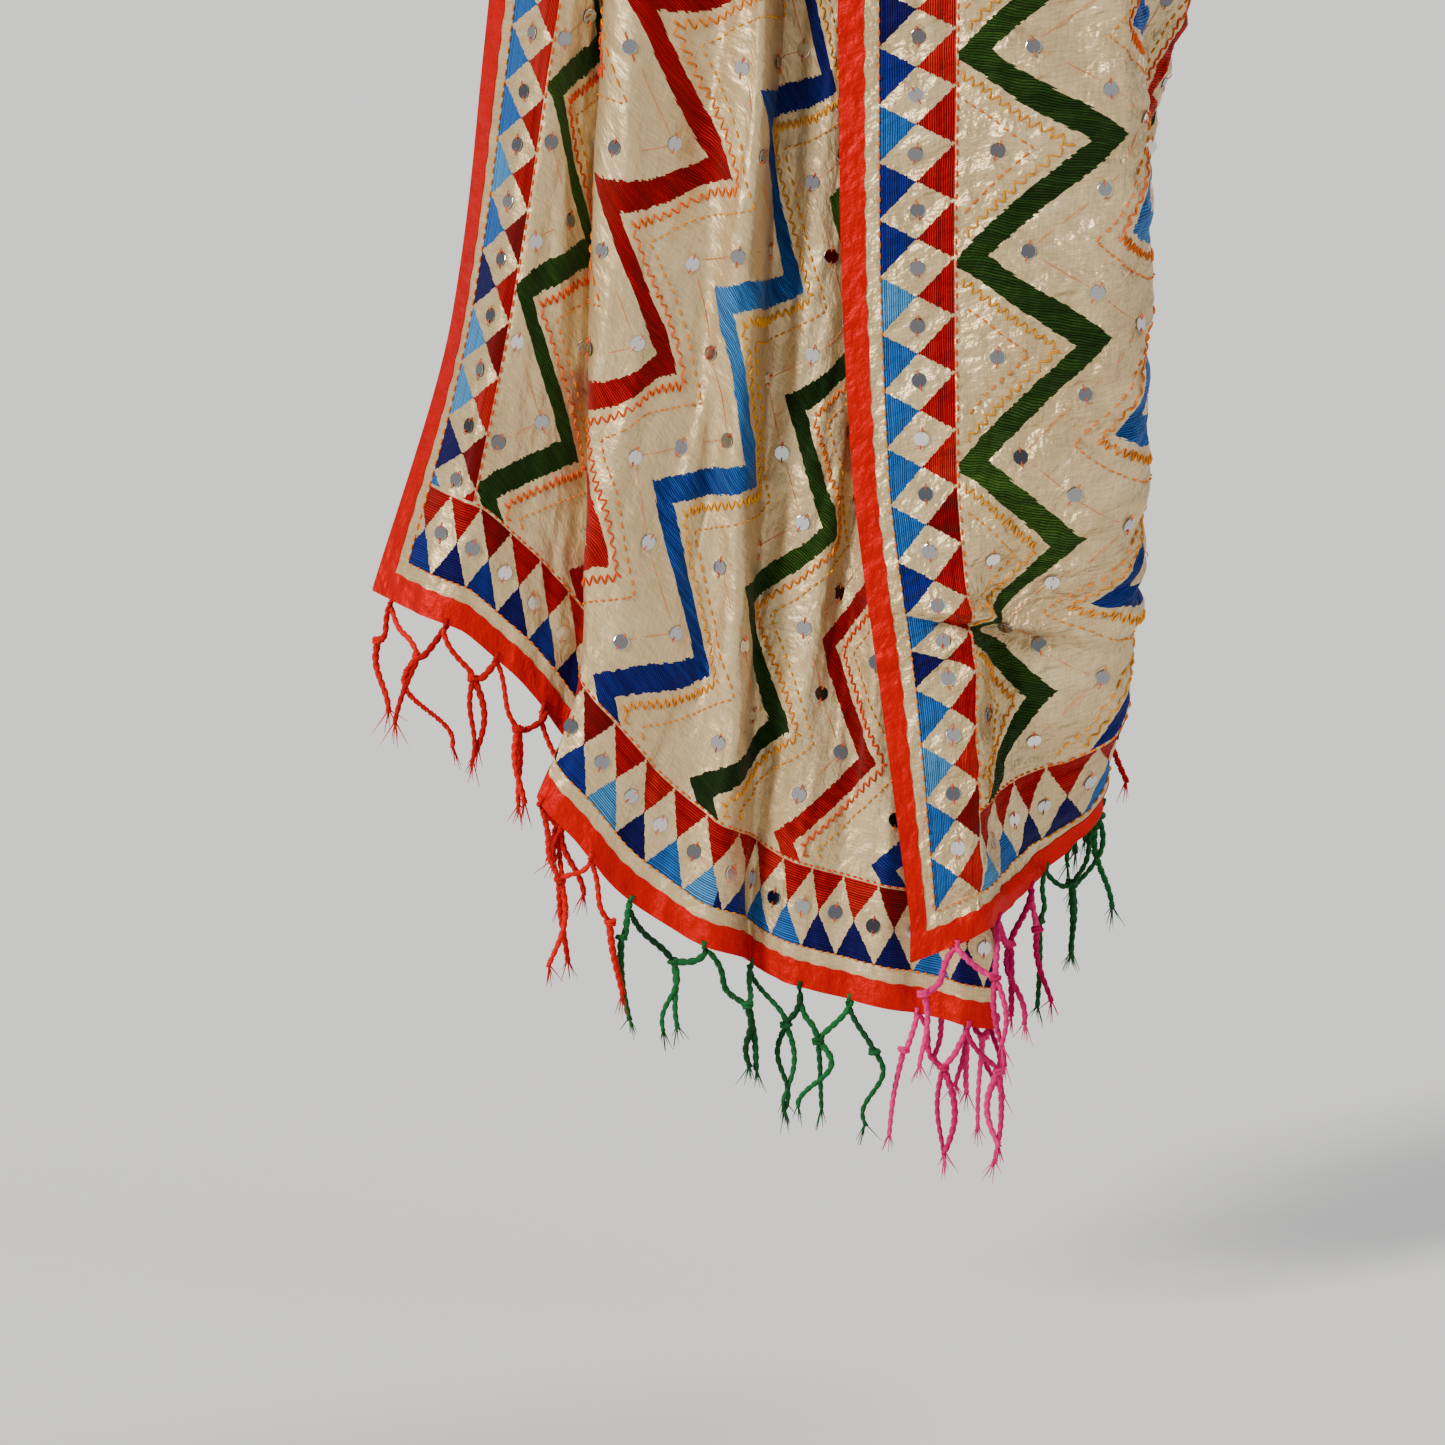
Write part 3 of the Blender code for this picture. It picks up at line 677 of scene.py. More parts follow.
def running(points, length, gap, jitter):
    """Starts and stops of running stitches along a polyline of (s, t) points."""
    steps = np.linalg.norm(np.diff(points, axis=0), axis=1)
    at = np.concatenate(((0,), np.cumsum(steps)))
    begin = np.arange(gap, at[-1] - length, length + gap)
    begin = begin + rng.normal(0, jitter, len(begin))
    ends = begin + length * rng.uniform(0.85, 1.12, len(begin))

    def on(place):
        found = [np.interp(place, at, points[:, k]) for k in (0, 1)]
        return np.stack(found, axis=1) + rng.normal(0, jitter * 0.4, (len(place), 2))

    return on(begin), on(ends)


def clear_of_edges(s, t, aside, ahead):
    """Whether places lie this far in from the selvedges and from the ends."""
    clear = (s > aside) & (s < CLOTH_WIDTH - aside)
    return clear & (t > ahead) & (t < CLOTH_LENGTH - ahead)


def kept(pair):
    """Only the stitches that lie inside the borders."""
    margin = INNER + 0.003
    inside = np.all([clear_of_edges(*end.T, margin, margin) for end in pair], axis=0)
    return pair[0][inside], pair[1][inside]


def part_of(t):
    """0, 1 or 2 for the front fall, the span and the side fall."""
    return np.searchsorted((along[FRONT_LAST].mean(), along[SIDE_FIRST].mean()), t)


half_turns = np.arange(BAND_TIP - BAND_PERIOD, CLOTH_LENGTH, BAND_PERIOD / 2)
small = np.arange(BAND_TIP - BAND_PERIOD, CLOTH_LENGTH, SMALL_STEP)
sewn = []
for k in range(BANDS):
    centre = BAND_FIRST + BAND_STEP * k
    swing = centre + BAND_SWING * zigzag(half_turns)
    line = np.stack((swing + LINE_ASIDE, half_turns), axis=1)
    pair = kept(running(line, *LINE_STITCH))
    sewn.append((*pair, 0.25 + 0.2 * np.sin(pair[0][:, 1] * 7 + k)))
    wave = centre + BAND_SWING * zigzag(small) + SMALL_ASIDE
    slope = np.gradient(wave, small)
    aside = np.where(np.arange(len(small)) % 2, SMALL_HALF, -SMALL_HALF) / np.sqrt(1 + slope**2)
    nodes = np.stack((wave + aside, small - aside * slope), axis=1)
    nodes += rng.normal(0, 0.0004, nodes.shape)
    pair = kept((nodes[:-1], nodes[1:]))
    sewn.append((*pair, 0.45 + 0.45 * np.sin(pair[0][:, 1] * 3.3 + 1.7 * k)))

for inset, warm in ((BORDER_FROM * MM, 0.35), (INNER, 0.75)):
    far_s, far_t = CLOTH_WIDTH - inset, CLOTH_LENGTH - inset
    loop = np.array((
        (inset, inset), (far_s, inset), (far_s, far_t), (inset, far_t), (inset, inset),
    ))
    for a, b in zip(loop[:-1], loop[1:]):
        count = max(2, int(np.linalg.norm(b - a) / 0.05))
        line = a + (b - a) * np.linspace(0, 1, count)[:, None]
        pair = running(line, *BORDER_STITCH)
        sewn.append((*pair, warm + 0.15 * np.sin(pair[0].sum(axis=1) * 9)))

starts, stops, tints = (np.concatenate(group) for group in zip(*sewn))
tints = np.clip(tints, 0, 1)
stitch_pieces = {}
for number, name in enumerate(stretches):
    here = part_of(starts[:, 1]) == number
    stitch_pieces[name] = stitches(
        f"{name}_stitches", starts[here], stops[here], STITCH_GIRTH, tints[here]
    )
print("stitches", len(starts))

# %% [markdown]
# The sequins are flat metal discs with a hole, tied down by two stitches through the
# middle. In the borders one lies in each diamond; over the field they follow a zigzag
# beside each band, and a floating thread runs on the cloth from one to the next.

# %% Sequins
SEQUIN = 0.0054
PITCH = 0.039
SEQUIN_ASIDE, LAST_ASIDE = 0.040, 0.068
CLEAR_SIDE, CLEAR_END = 0.098, 0.100
DISC_LIFT, DISC_TILT = 0.0009, 0.06
TIE_GIRTH, TIE_BOW, FLOAT_GIRTH = 0.00055, 0.0012, 0.00032
DISC_RINGS = ((0.03, 0.00012), (0.94, 0.00012), (1.0, -0.00006), (0.03, -0.00012))


def places(s, t):
    """Rows of (s, t), where one of the two may be a single number."""
    return np.stack(np.broadcast_arrays(s, t), axis=1)


middle = BORDER_MIDDLE * MM
end_places = np.arange(middle, CLOTH_WIDTH - SEQUIN_ASIDE, PITCH)[1:-1]
side_places = np.arange(middle, CLOTH_LENGTH - SEQUIN_ASIDE, PITCH)
sequins = [places(s, side_places) for s in (middle, CLOTH_WIDTH - middle)]
sequins += [places(end_places, t) for t in (middle, CLOTH_LENGTH - middle)]
quarter = np.arange(BAND_TIP - BAND_PERIOD, CLOTH_LENGTH, BAND_PERIOD / 4)
floats = []
for k in range(BANDS):
    line = BAND_FIRST + BAND_STEP * k - SEQUIN_ASIDE + BAND_SWING * zigzag(quarter)
    row = places(line, quarter)
    inside = clear_of_edges(line, quarter, CLEAR_SIDE, CLEAR_END)
    sequins.append(row[inside])
    pairs = inside[:-1] & inside[1:]
    floats.append((row[:-1][pairs], row[1:][pairs]))
tips = np.arange(BAND_TIP, CLOTH_LENGTH, BAND_PERIOD)
tips = tips[(tips > CLEAR_END) & (tips < CLOTH_LENGTH - CLEAR_END)]
last = BAND_FIRST + BAND_STEP * (BANDS - 1) + LAST_ASIDE - BAND_SWING
sequins.append(places(last, tips))
sequins = np.concatenate(sequins)
sequins += rng.normal(0, 0.0007, sequins.shape)


def discs(name, at, radius):
    """Flat discs with a hole, tilted a little: four rings of points make both faces."""
    count, sides = len(at), 12
    s, t = at.T
    centre = lay(s, t, np.full(count, CLOTH_HALF + DISC_LIFT))
    facing = unit(read(even_normal, s, t) + rng.normal(0, DISC_TILT, (count, 3)))
    ahead = unit(lay(s, t + 0.003) - lay(s, t - 0.003))
    aside = unit(np.cross(ahead, facing))
    ahead = np.cross(facing, aside)
    turn = np.linspace(0, 2 * np.pi, sides, endpoint=False)
    ring = np.stack([
        rings(centre, aside, ahead, turn, radius * reach) + facing[:, None] * high
        for reach, high in DISC_RINGS
    ], axis=1)
    base = np.arange(ring[..., 0].size).reshape(ring.shape[:3])
    turned, onward = np.roll(base, -1, axis=2), np.roll(base, -1, axis=1)
    faces = np.stack((base, onward, np.roll(turned, -1, axis=1), turned), axis=-1)
    tint = np.repeat(rng.uniform(0, 1, count), base[0].size)
    made = piece(name, ring.reshape(-1, 3), faces.reshape(-1, 4), tint=tint)
    made.data.polygons.foreach_set("use_smooth", np.zeros(base.size, bool))
    return made


sequin_pieces, tie_pieces, float_pieces = {}, {}, {}
float_starts, float_stops = (np.concatenate(group) for group in zip(*floats))
for number, name in enumerate(stretches):
    here = sequins[part_of(sequins[:, 1]) == number]
    sequin_pieces[name] = discs(f"{name}_sequins", here, SEQUIN)
    way = rng.normal(0, 0.25, len(here))
    reach = np.stack((np.sin(way), np.cos(way)), axis=1) * SEQUIN
    begin = np.concatenate((here - reach * 1.42, here + reach * 0.45))
    end = np.concatenate((here - reach * 0.45, here + reach * 1.42))
    tie_pieces[name] = stitches(
        f"{name}_sequin_ties", begin, end, TIE_GIRTH, rng.uniform(0.5, 1, len(begin)), TIE_BOW
    )
    mine = part_of(float_starts[:, 1]) == number
    begin, end = float_starts[mine], float_stops[mine]
    inset = unit(end - begin) * SEQUIN
    float_pieces[name] = stitches(
        f"{name}_floating_threads", begin + inset, end - inset, FLOAT_GIRTH,
        rng.uniform(0, 0.4, len(begin)),
    )
print("sequins", len(sequins))

# %% [markdown]
# A cord is a tube whose section has a lobe for each ply and turns along its length.

# %% Cords
def cords(name, paths, radii, sides=8, plies=2, twist=480.0):
    """Tubes along paths (count, steps, 3): a plied section that turns along the cord."""
    count, steps = paths.shape[:2]
    heading = unit(np.gradient(paths, axis=1))
    aside = unit(np.cross(heading, (0.0, 1.0, 0.05)))
    other = np.cross(heading, aside)
    length = np.linalg.norm(np.diff(paths, axis=1), axis=-1).cumsum(axis=1)
    length = np.concatenate((np.zeros((count, 1)), length), axis=1)
    turn = np.linspace(0, 2 * np.pi, sides, endpoint=False)
    lobe = 0.66 + 0.34 * np.abs(np.cos(turn * plies / 2))
    phase = turn + (length * twist)[..., None]
    ring = rings(paths, aside, other, phase, radii[..., None] * lobe)
    base = np.arange(count * steps * sides).reshape(count, steps, sides)
    turned = np.roll(base, -1, axis=2)
    tips = np.broadcast_to(base.size + np.arange(count)[:, None], (count, sides))
    first = np.stack((base[:, 0], turned[:, 0], tips), axis=-1)
    last = np.stack((turned[:, -1], base[:, -1], tips + count), axis=-1)
    points = np.concatenate((ring.reshape(-1, 3), paths[:, 0], paths[:, -1]))
    faces = np.concatenate((tube_faces(base), first.reshape(-1, 3), last.reshape(-1, 3)))
    shade = np.repeat(rng.uniform(0, 1, count), steps * sides)
    shade = np.concatenate((shade, np.full(2 * count, 0.5)))
    return piece(name, points, faces, tint=shade)

# %% [markdown]
# The fringe is the warp itself, bunched into tassels. From each root two plied cords
# slant to the knots on either side, where they meet their neighbours, and below each knot
# a pair of tails hangs free, a little twisted, with the threads loose at the tips.

# %% Fringe
FRINGE_STEP = 0.031
CORD_STEPS, KNOT_STEPS, WISP_STEPS = 32, 15, 8
CORD_GIRTH, TAIL_GIRTH, KNOT_GIRTH, COIL = 0.0025, 0.0029, 0.0020, 0.0030
KNOT_DROPS, TAIL_DROPS, WISP_DROPS = (0.022, 0.034), (0.044, 0.066), (0.008, 0.018)
ROOT_IN, CORD_SAG = 0.0035, 0.006
OVER_EDGE = 0.12  # the share of a cord that lies over the end of the cloth
WISPS = 7  # loose threads at the tip of each tail
DOWN = np.array((0.0, 0.0, -1.0))


def fringe(name, at_start, low, high):
    """The fringe of one stretch of an end, from s = low to high."""
    roots = np.arange(low + FRINGE_STEP / 2, high, FRINGE_STEP * 2)
    roots = roots + rng.normal(0, 0.0025, len(roots))
    t_end, t_root = (0.0, ROOT_IN) if at_start else (CLOTH_LENGTH, CLOTH_LENGTH - ROOT_IN)
    top = lay(roots, np.full(len(roots), t_root), CLOTH_HALF)
    edge = lay(roots, np.full(len(roots), t_end))
    knots_s = np.concatenate((roots - FRINGE_STEP, roots[-1:] + FRINGE_STEP))
    knots_s = np.clip(knots_s, low + 0.004, high - 0.004)
    knots = lay(knots_s, np.full(len(knots_s), t_end))
    knots = knots + DOWN * rng.uniform(*KNOT_DROPS, (len(knots), 1))
    knots[:, 0] += rng.normal(0, 0.004, len(knots))
    knots[:, 1] += rng.normal(-0.002, 0.003, len(knots))
    knots[:, 2] -= 0.003
    made, girth = [], []
    share = np.linspace(0, 1, CORD_STEPS)[:, None]
    hanging = share > OVER_EDGE
    for way in (0, 1):
        for begin, under, stop in zip(top, edge, knots[way:]):
            over = under + DOWN * 0.002
            sag = DOWN * CORD_SAG * np.sin(np.pi * share) * rng.uniform(0.4, 1.2)
            bend = rng.normal(0, 0.0016, 3) * np.sin(2 * np.pi * share)
            path = np.where(
                hanging,
                over + (stop - over) * (share - OVER_EDGE) / (1 - OVER_EDGE),
                begin + (over - begin) * share / OVER_EDGE,
            )
            made.append(path + (sag + bend) * hanging)
            girth.append(np.full(CORD_STEPS, CORD_GIRTH) * rng.uniform(0.85, 1.15))
    for n, knot in enumerate(knots):
        for way in (-1, 1):
            if not 0 <= n + way < len(knots):
                continue
            drop = rng.uniform(*TAIL_DROPS)
            aside = way * rng.uniform(0.001, 0.007) + rng.normal(0, 0.006)
            lean = np.array((aside, rng.normal(0, 0.004), 0))
            curl = rng.normal(0, 0.0052, 3) * (1, 0.5, 0)
            path = knot + DOWN * drop * share + lean * share**1.3
            made.append(path + curl * np.sin(np.pi * share * rng.uniform(0.8, 2.0)))
            girth.append(TAIL_GIRTH * (1 - 0.25 * share[:, 0]) * rng.uniform(0.85, 1.15))
    cord = cords(name, np.array(made), np.array(girth))
    wisps = []
    along_wisp = share[:WISP_STEPS] / share[WISP_STEPS - 1]
    for path in made[2 * len(roots):]:
        for _ in range(WISPS):
            out = rng.normal(0, 0.0040, 3) * (1, 1, 0)
            wisps.append(path[-2] + (DOWN * rng.uniform(*WISP_DROPS) + out) * along_wisp)
    thin = np.tile(np.linspace(0.00070, 0.00018, WISP_STEPS), (len(wisps), 1))
    loose = cords(name + "_wisps", np.array(wisps), thin, sides=4, plies=1, twist=0)
    turn = np.linspace(0, 2 * np.pi, KNOT_STEPS)[:, None]
    coils = []
    for knot in knots:
        spin = turn * 1.5 + rng.uniform(0, 6)
        coil = (np.cos(spin), np.sin(spin), 0.55 * (turn / np.pi - 1))
        coils.append(knot + COIL * np.concatenate(coil, axis=1))
    ball = cords(name + "_knots", np.array(coils), np.full((len(coils), KNOT_STEPS), KNOT_GIRTH))
    return cord, loose, ball


FRINGES = (
    # name, at the front end, from s, to s, thread, CAD nodes that it stands for
    ("front_red_fringe_shown", True, 0.004, 0.434, "red",
     ("front_fall_red_fringe", "front_fall_fold_fringe")),
    ("front_green_fringe_shown", True, 0.434, 0.744, "green", ("front_fall_green_fringe",)),
    ("front_pink_fringe_shown", True, 0.744, 1.026, "pink", ("front_fall_pink_fringe",)),
    ("side_pink_fringe_shown", False, 0.838, 1.026, "pink", ("side_fall_pink_fringe",)),
    ("side_green_fringe_shown", False, 0.560, 0.838, "green", ()),
    ("side_red_fringe_shown", False, 0.004, 0.560, "red", ()),
)
fringes = {name: fringe(name, *place) for name, *place, thread, nodes in FRINGES}
print("fringe pieces", 3 * len(fringes))

# %% [markdown]
# The embroidery is drawn by the cloth's material from `s` and `t`. A small helper turns
# sums written in Python into shader nodes, so that the pattern reads as arithmetic.

# %% Arithmetic in a material
def put(tree, node, values):
    """Gives a node's sockets their values: a reading or a socket is linked, the rest set."""
    for name, value in values.items():
        value = getattr(value, "socket", value)
        if isinstance(value, bpy.types.NodeSocket):
            tree.links.new(value, node.inputs[name])
        else:
            node.inputs[name].default_value = value


def added(tree, kind, **values):
    """A new node, with the values of its sockets."""
    node = tree.nodes.new("ShaderNode" + kind)
    put(tree, node, values)
    return node


class Reading:
    """A number that varies over the surface; sums with it add nodes to its material."""

    def __init__(self, tree, socket):
        self.tree, self.socket = tree, socket

    def made(self, operation, *others):
        node = added(self.tree, "Math")
        node.operation = operation
        put(self.tree, node, dict(enumerate((self, *others))))
        return Reading(self.tree, node.outputs[0])

    __add__ = partialmethod(made, "ADD")
    __sub__ = partialmethod(made, "SUBTRACT")
    __mul__ = partialmethod(made, "MULTIPLY")
    __truediv__ = partialmethod(made, "DIVIDE")
    __lt__ = partialmethod(made, "LESS_THAN")
    __gt__ = partialmethod(made, "GREATER_THAN")
    __abs__ = partialmethod(made, "ABSOLUTE")
    floor = partialmethod(made, "FLOOR")
    whole = partialmethod(made, "ROUND")
    part = partialmethod(made, "FRACT")
    least = partialmethod(made, "MINIMUM")
    sine = partialmethod(made, "SINE")

    def __rsub__(self, other):
        return self * -1 + other

    def chosen(self, yes, no):
        """yes where this is 1 and no where it is 0."""
        return self * (yes - no) + no

    def random(self):
        """A random number from 0 to 1 for each whole number."""
        node = added(self.tree, "TexWhiteNoise")
        node.noise_dimensions = "1D"
        put(self.tree, node, {"W": self})
        return Reading(self.tree, node.outputs["Value"])

# %% [markdown]
# Noise, colour ramps, mixing and relief are made the same way in every material.

# %% Nodes that the materials share
def wander(tree, x, y, detail=2.0, scale=1.0):
    """Smooth noise from 0 to 1 over two readings."""
    place = added(tree, "CombineXYZ", X=x, Y=y).outputs[0]
    noise = added(tree, "TexNoise", Scale=scale, Detail=detail, Vector=place)
    return Reading(tree, noise.outputs[0])


def ramp(tree, reading, colours, smooth=True):
    """Colours spread evenly from 0 to 1."""
    node = added(tree, "ValToRGB")
    node.color_ramp.interpolation = "LINEAR" if smooth else "CONSTANT"
    stops = node.color_ramp.elements
    while len(stops) < len(colours):
        stops.new(0.5)
    for k, colour in enumerate(colours):
        stops[k].position = k / (len(colours) - smooth)
        stops[k].color = (*colour, 1.0)
    put(tree, node, {0: reading})
    return node.outputs[0]


def mixed(tree, share, under, over, blend="MIX"):
    """Colour `over` where share is 1 and `under` where it is 0."""
    node = added(tree, "Mix")
    node.data_type, node.blend_type = "RGBA", blend
    put(tree, node, {0: share, 6: under, 7: over})
    return node.outputs[2]


def principled(name):
    """A new material, its node tree and its Principled shader."""
    made = bpy.data.materials.new(name)
    made.use_nodes = True
    return made, made.node_tree, made.node_tree.nodes["Principled BSDF"]


def bumped(tree, shader, height):
    """Lets a height in millimetres tilt the shading."""
    bump = added(tree, "Bump", Distance=MM, Height=height)
    put(tree, shader, {"Normal": bump.outputs[0]})


def cloth_place(tree):
    """Readings of s and t in millimetres, from the UV."""
    uv = added(tree, "UVMap")
    uv.uv_map = "cloth"
    apart = added(tree, "SeparateXYZ", Vector=uv.outputs[0])
    return [Reading(tree, apart.outputs[k]) * (1 / MM) for k in (0, 1)]


def woven(reading, pitch, high):
    """The rise and fall of threads a pitch apart, in millimetres."""
    return (reading * (2 * math.pi / pitch)).sine() * high


def tint_of(tree):
    """A reading of the piece's own `tint`."""
    node = added(tree, "Attribute")
    node.attribute_name = "tint"
    return Reading(tree, node.outputs["Fac"])

# %% [markdown]
# The pattern asks in turn which border a place is in, which diamond or triangle there, then
# which band and how far from its middle. Uneven rows move the edges a little, and a strand
# of satin stitch is lower at its sides, where painted shade darkens it. What is left is bare
# silk with slubs.

# %% The silk and its embroidery
SILK = ((0.37, 0.235, 0.095), (0.63, 0.455, 0.225), (0.84, 0.680, 0.410))
GREEN = ((0.006, 0.022, 0.003), (0.020, 0.062, 0.005), (0.055, 0.135, 0.012))
RED = ((0.26, 0.0005, 0.001), (0.52, 0.001, 0.001), (0.66, 0.012, 0.006))
BLUE = (
    (0.006, 0.003, 0.115), (0.008, 0.022, 0.25), (0.025, 0.170, 0.560), (0.090, 0.360, 0.720),
)
RED_TRIANGLES = (RED[0], RED[1], RED[1], RED[2])
DIAMOND_HIGH, BAND_HALF = 27.5, 13.5
ROW, BORDER_ROW, BAND_STRAND, BORDER_STRAND = 1.15, 1.3, 1.9, 1.7


def cloth_material():
    """Cream tissue silk with its embroidery, from the UV's s and t in metres."""
    made, tree, shader = principled("embroidered silk")
    s, t = cloth_place(tree)
    width, length, diamond_wide = CLOTH_WIDTH / MM, CLOTH_LENGTH / MM, PITCH / MM
    far_s, far_t = s * -1 + width, t * -1 + length
    from_side, from_end = s.least(far_s), t.least(far_t)
    front_half = t < length / 2
    row = (t / ROW).floor()
    # The border: the end's own run crosses the corners in front, the side's behind.
    near_end = from_end < FIELD_FROM
    end_wins = front_half.chosen(near_end, near_end * (from_side > FIELD_FROM))
    a = end_wins.chosen(from_end, from_side)
    b = (end_wins.chosen(s, t) - BORDER_MIDDLE) / diamond_wide
    wobble = ((a / BORDER_ROW).floor().random() - 0.5) * 1.5
    near = abs((b + 0.5).part() - 0.5) * diamond_wide + wobble
    diamond = near / (diamond_wide / 2) + abs(a - BORDER_MIDDLE) / DIAMOND_HIGH
    in_border = (a > BORDER_FROM) * (a < BORDER_TO)
    in_border = in_border * (from_side > BORDER_FROM) * (from_end > BORDER_FROM)
    triangle = in_border * (diamond > 1.0)
    number = b.floor() + end_wins * 97.0 + (s > width / 2) * 31.0
    blue_shade = ramp(tree, number.random(), BLUE, smooth=False)
    red_shade = ramp(tree, (number + 511.0).random(), RED_TRIANGLES, smooth=False)
    # The seven zigzag bands.
    turn = ((t - BAND_TIP / MM) / (BAND_PERIOD / MM)).part()
    swing = (abs(turn - 0.5) * -4 + 1) * (BAND_SWING / MM)
    bend = wander(tree, s * 0.05, t * 0.05, 1.0) * 5.0
    strand_lie = (t + s * 0.30 + bend) / BAND_STRAND
    jag = ((strand_lie.floor() + 40.0).random() - 0.5) * 2.6
    q = (s - swing - BAND_FIRST / MM) / (BAND_STEP / MM)
    band_number = q.whole()
    off = (q - band_number) * (BAND_STEP / MM) + jag
    in_field = (from_side > FIELD_FROM) * (from_end > FIELD_FROM)
    in_band = (abs(off) < BAND_HALF) * in_field
    in_band = in_band * (band_number > -0.5) * (band_number < BANDS - 0.5)
    kind = (band_number / 3.0).part() * 3.0
    drift = wander(tree, t * 0.001, band_number * 3.7, 1.0, 4.5)
    drift = (drift - 0.5) * 2.1 + 0.5
    strand = ((row + band_number * 13.0).random() - 0.5) * 0.20
    shade = drift + strand
    red = (kind > 0.5) * (kind < 1.5)
    band_colour = mixed(tree, red, ramp(tree, shade, GREEN), ramp(tree, shade, RED))
    band_colour = mixed(tree, kind > 1.5, band_colour, ramp(tree, shade, BLUE))
    # The ground: tissue silk with uneven slubs along and across.
    slub = wander(tree, s * 0.07, t * 0.95, 3.0)
    slub_across = wander(tree, s * 0.90, t * 0.06, 3.0)
    cloud = wander(tree, s * 0.012, t * 0.012)
    fibre = (slub * 0.40 + slub_across * 0.30 + cloud * 0.30 - 0.5) * 2.1 + 0.5
    ground = ramp(tree, fibre, SILK)
    # The satin strands: lower in the gaps between them, with painted shade there and a random
    # tone for each strand.
    lie = in_band.chosen(strand_lie, (a + bend * 0.3) / BORDER_STRAND)
    hollow = abs(lie.part() - 0.5) * 2.0
    gap = hollow * hollow
    # painted shade in the gaps between strands, plus a random tone for each strand
    painted_gap_shade_and_tone = gap * 0.95 + lie.floor().random() * 0.36
    colour = mixed(tree, triangle * (a < BORDER_MIDDLE), ground, blue_shade)
    colour = mixed(tree, triangle * (a > BORDER_MIDDLE), colour, red_shade)
    colour = mixed(tree, in_band, colour, band_colour)
    thread = (triangle + in_band).least(1.0)
    put(tree, shader, {
        # painted shade: thread colour is multiplied towards dark grey in the gaps between
        # strands
        "Base Color": mixed(tree, thread * painted_gap_shade_and_tone, colour, (0.10, 0.08, 0.09, 1.0), "MULTIPLY"),
        "Roughness": thread.chosen(0.62, slub * 0.22 + 0.28),
        "Metallic": thread.chosen(0.30, 0.50),
        "Sheen Weight": 0.05,
        "Sheen Roughness": 0.4,
        "Specular IOR Level": thread.chosen(0.10, 0.42),
    })
    fuzz = wander(tree, s * 0.9, t * 4.0) * 0.16
    weave = woven(s, 0.75, 0.012) + woven(t, 0.80, 0.012)
    height = thread * (fuzz + 0.66 - gap * 0.62)
    crumple = wander(tree, s * 0.040, t * 0.055, 3.5)
    pucker = wander(tree, s * 0.14, t * 0.11)
    crumple = front_half.chosen(crumple * 3.8 + pucker * 0.60, crumple * 9.5 + pucker * 1.5)
    bumped(tree, shader, height + weave + slub * 0.10 + slub_across * 0.08 + crumple)
    return made

# %% [markdown]
# Yarn takes its shade from the `tint` that each stitch or cord was given. The tape is
# satin ribbon with a fine rib and broad puckers, and the sequins are bare metal.

# %% Yarn, tape and sequins
def thread_material(name, colours, rough=0.6):
    """Yarn that runs from one colour to another by its `tint`."""
    made, tree, shader = principled(name)
    tint = tint_of(tree)
    where = added(tree, "TexCoord").outputs["Object"]
    grain = Reading(tree, added(tree, "TexNoise", Scale=900.0, Vector=where).outputs[0])
    put(tree, shader, {
        "Base Color": ramp(tree, tint + (grain - 0.5) * 0.25, colours),
        "Roughness": rough,
        "Sheen Weight": 0.04,
        "Specular IOR Level": 0.15,
        "Metallic": 0.25,
    })
    bumped(tree, shader, grain * 0.25)
    return made


def tape_material():
    """Red satin ribbon with a fine rib and soft puckers."""
    made, tree, shader = principled("red ribbon tape")
    s, t = cloth_place(tree)
    cloud = wander(tree, s * 0.05, t * 0.05)
    streak = wander(tree, s * 1.5, t * 0.06)
    colours = ((0.28, 0.0002, 0.0005), (0.56, 0.0004, 0.001), (0.72, 0.001, 0.002))
    put(tree, shader, {
        "Base Color": ramp(tree, cloud * 0.6 + streak * 0.4, colours),
        "Roughness": cloud * 0.15 + 0.42,
        "Sheen Weight": 0.0,
        "Specular IOR Level": 0.10,
        "Metallic": 0.45,
    })
    rib = woven(t, 0.9, 0.02) + woven(s, 0.9, 0.02)
    pucker = wander(tree, s * 0.11, t * 0.11, 3.0)
    bumped(tree, shader, rib + cloud * 2.2 + pucker * 2.4)
    return made


def sequin_material():
    """Polished metal discs, some cooler and some darker than others."""
    made, tree, shader = principled("sequin")
    tint = tint_of(tree)
    colours = ((0.12, 0.12, 0.13), (0.34, 0.35, 0.37), (0.60, 0.60, 0.60), (0.85, 0.84, 0.80))
    put(tree, shader, {
        "Base Color": ramp(tree, tint, colours),
        "Metallic": 1.0,
        "Roughness": tint * 0.12 + 0.08,
    })
    return made


cloth_finish = cloth_material()
tape_finish = tape_material()
sequin_finish = sequin_material()
stitch_finish = thread_material(
    "running thread", ((0.76, 0.33, 0.002), (0.80, 0.155, 0.002), (0.70, 0.028, 0.002))
)
tie_finish = thread_material("sequin tie", ((0.78, 0.20, 0.002), (0.72, 0.04, 0.002)))
float_finish = thread_material("floating thread", ((0.74, 0.22, 0.06), (0.68, 0.11, 0.02)))
fringe_finish = {
    colour: thread_material(f"{colour} fringe", shades, 0.8)
    for colour, shades in (
        ("red", ((0.34, 0.001, 0.001), (0.70, 0.006, 0.003))),
        ("green", ((0.003, 0.032, 0.008), (0.014, 0.150, 0.035))),
        ("pink", ((0.46, 0.001, 0.085), (0.82, 0.022, 0.225))),
    )
}
print("materials", len(bpy.data.materials))

# %% [markdown]
# Each piece takes its finish and hides what it stands for: the cloth and the tapes take the
# places of the CAD walls, and each fringe the place of the strands there. For each stretch
# the area that its cloth covers is printed as a share of its own cut size.

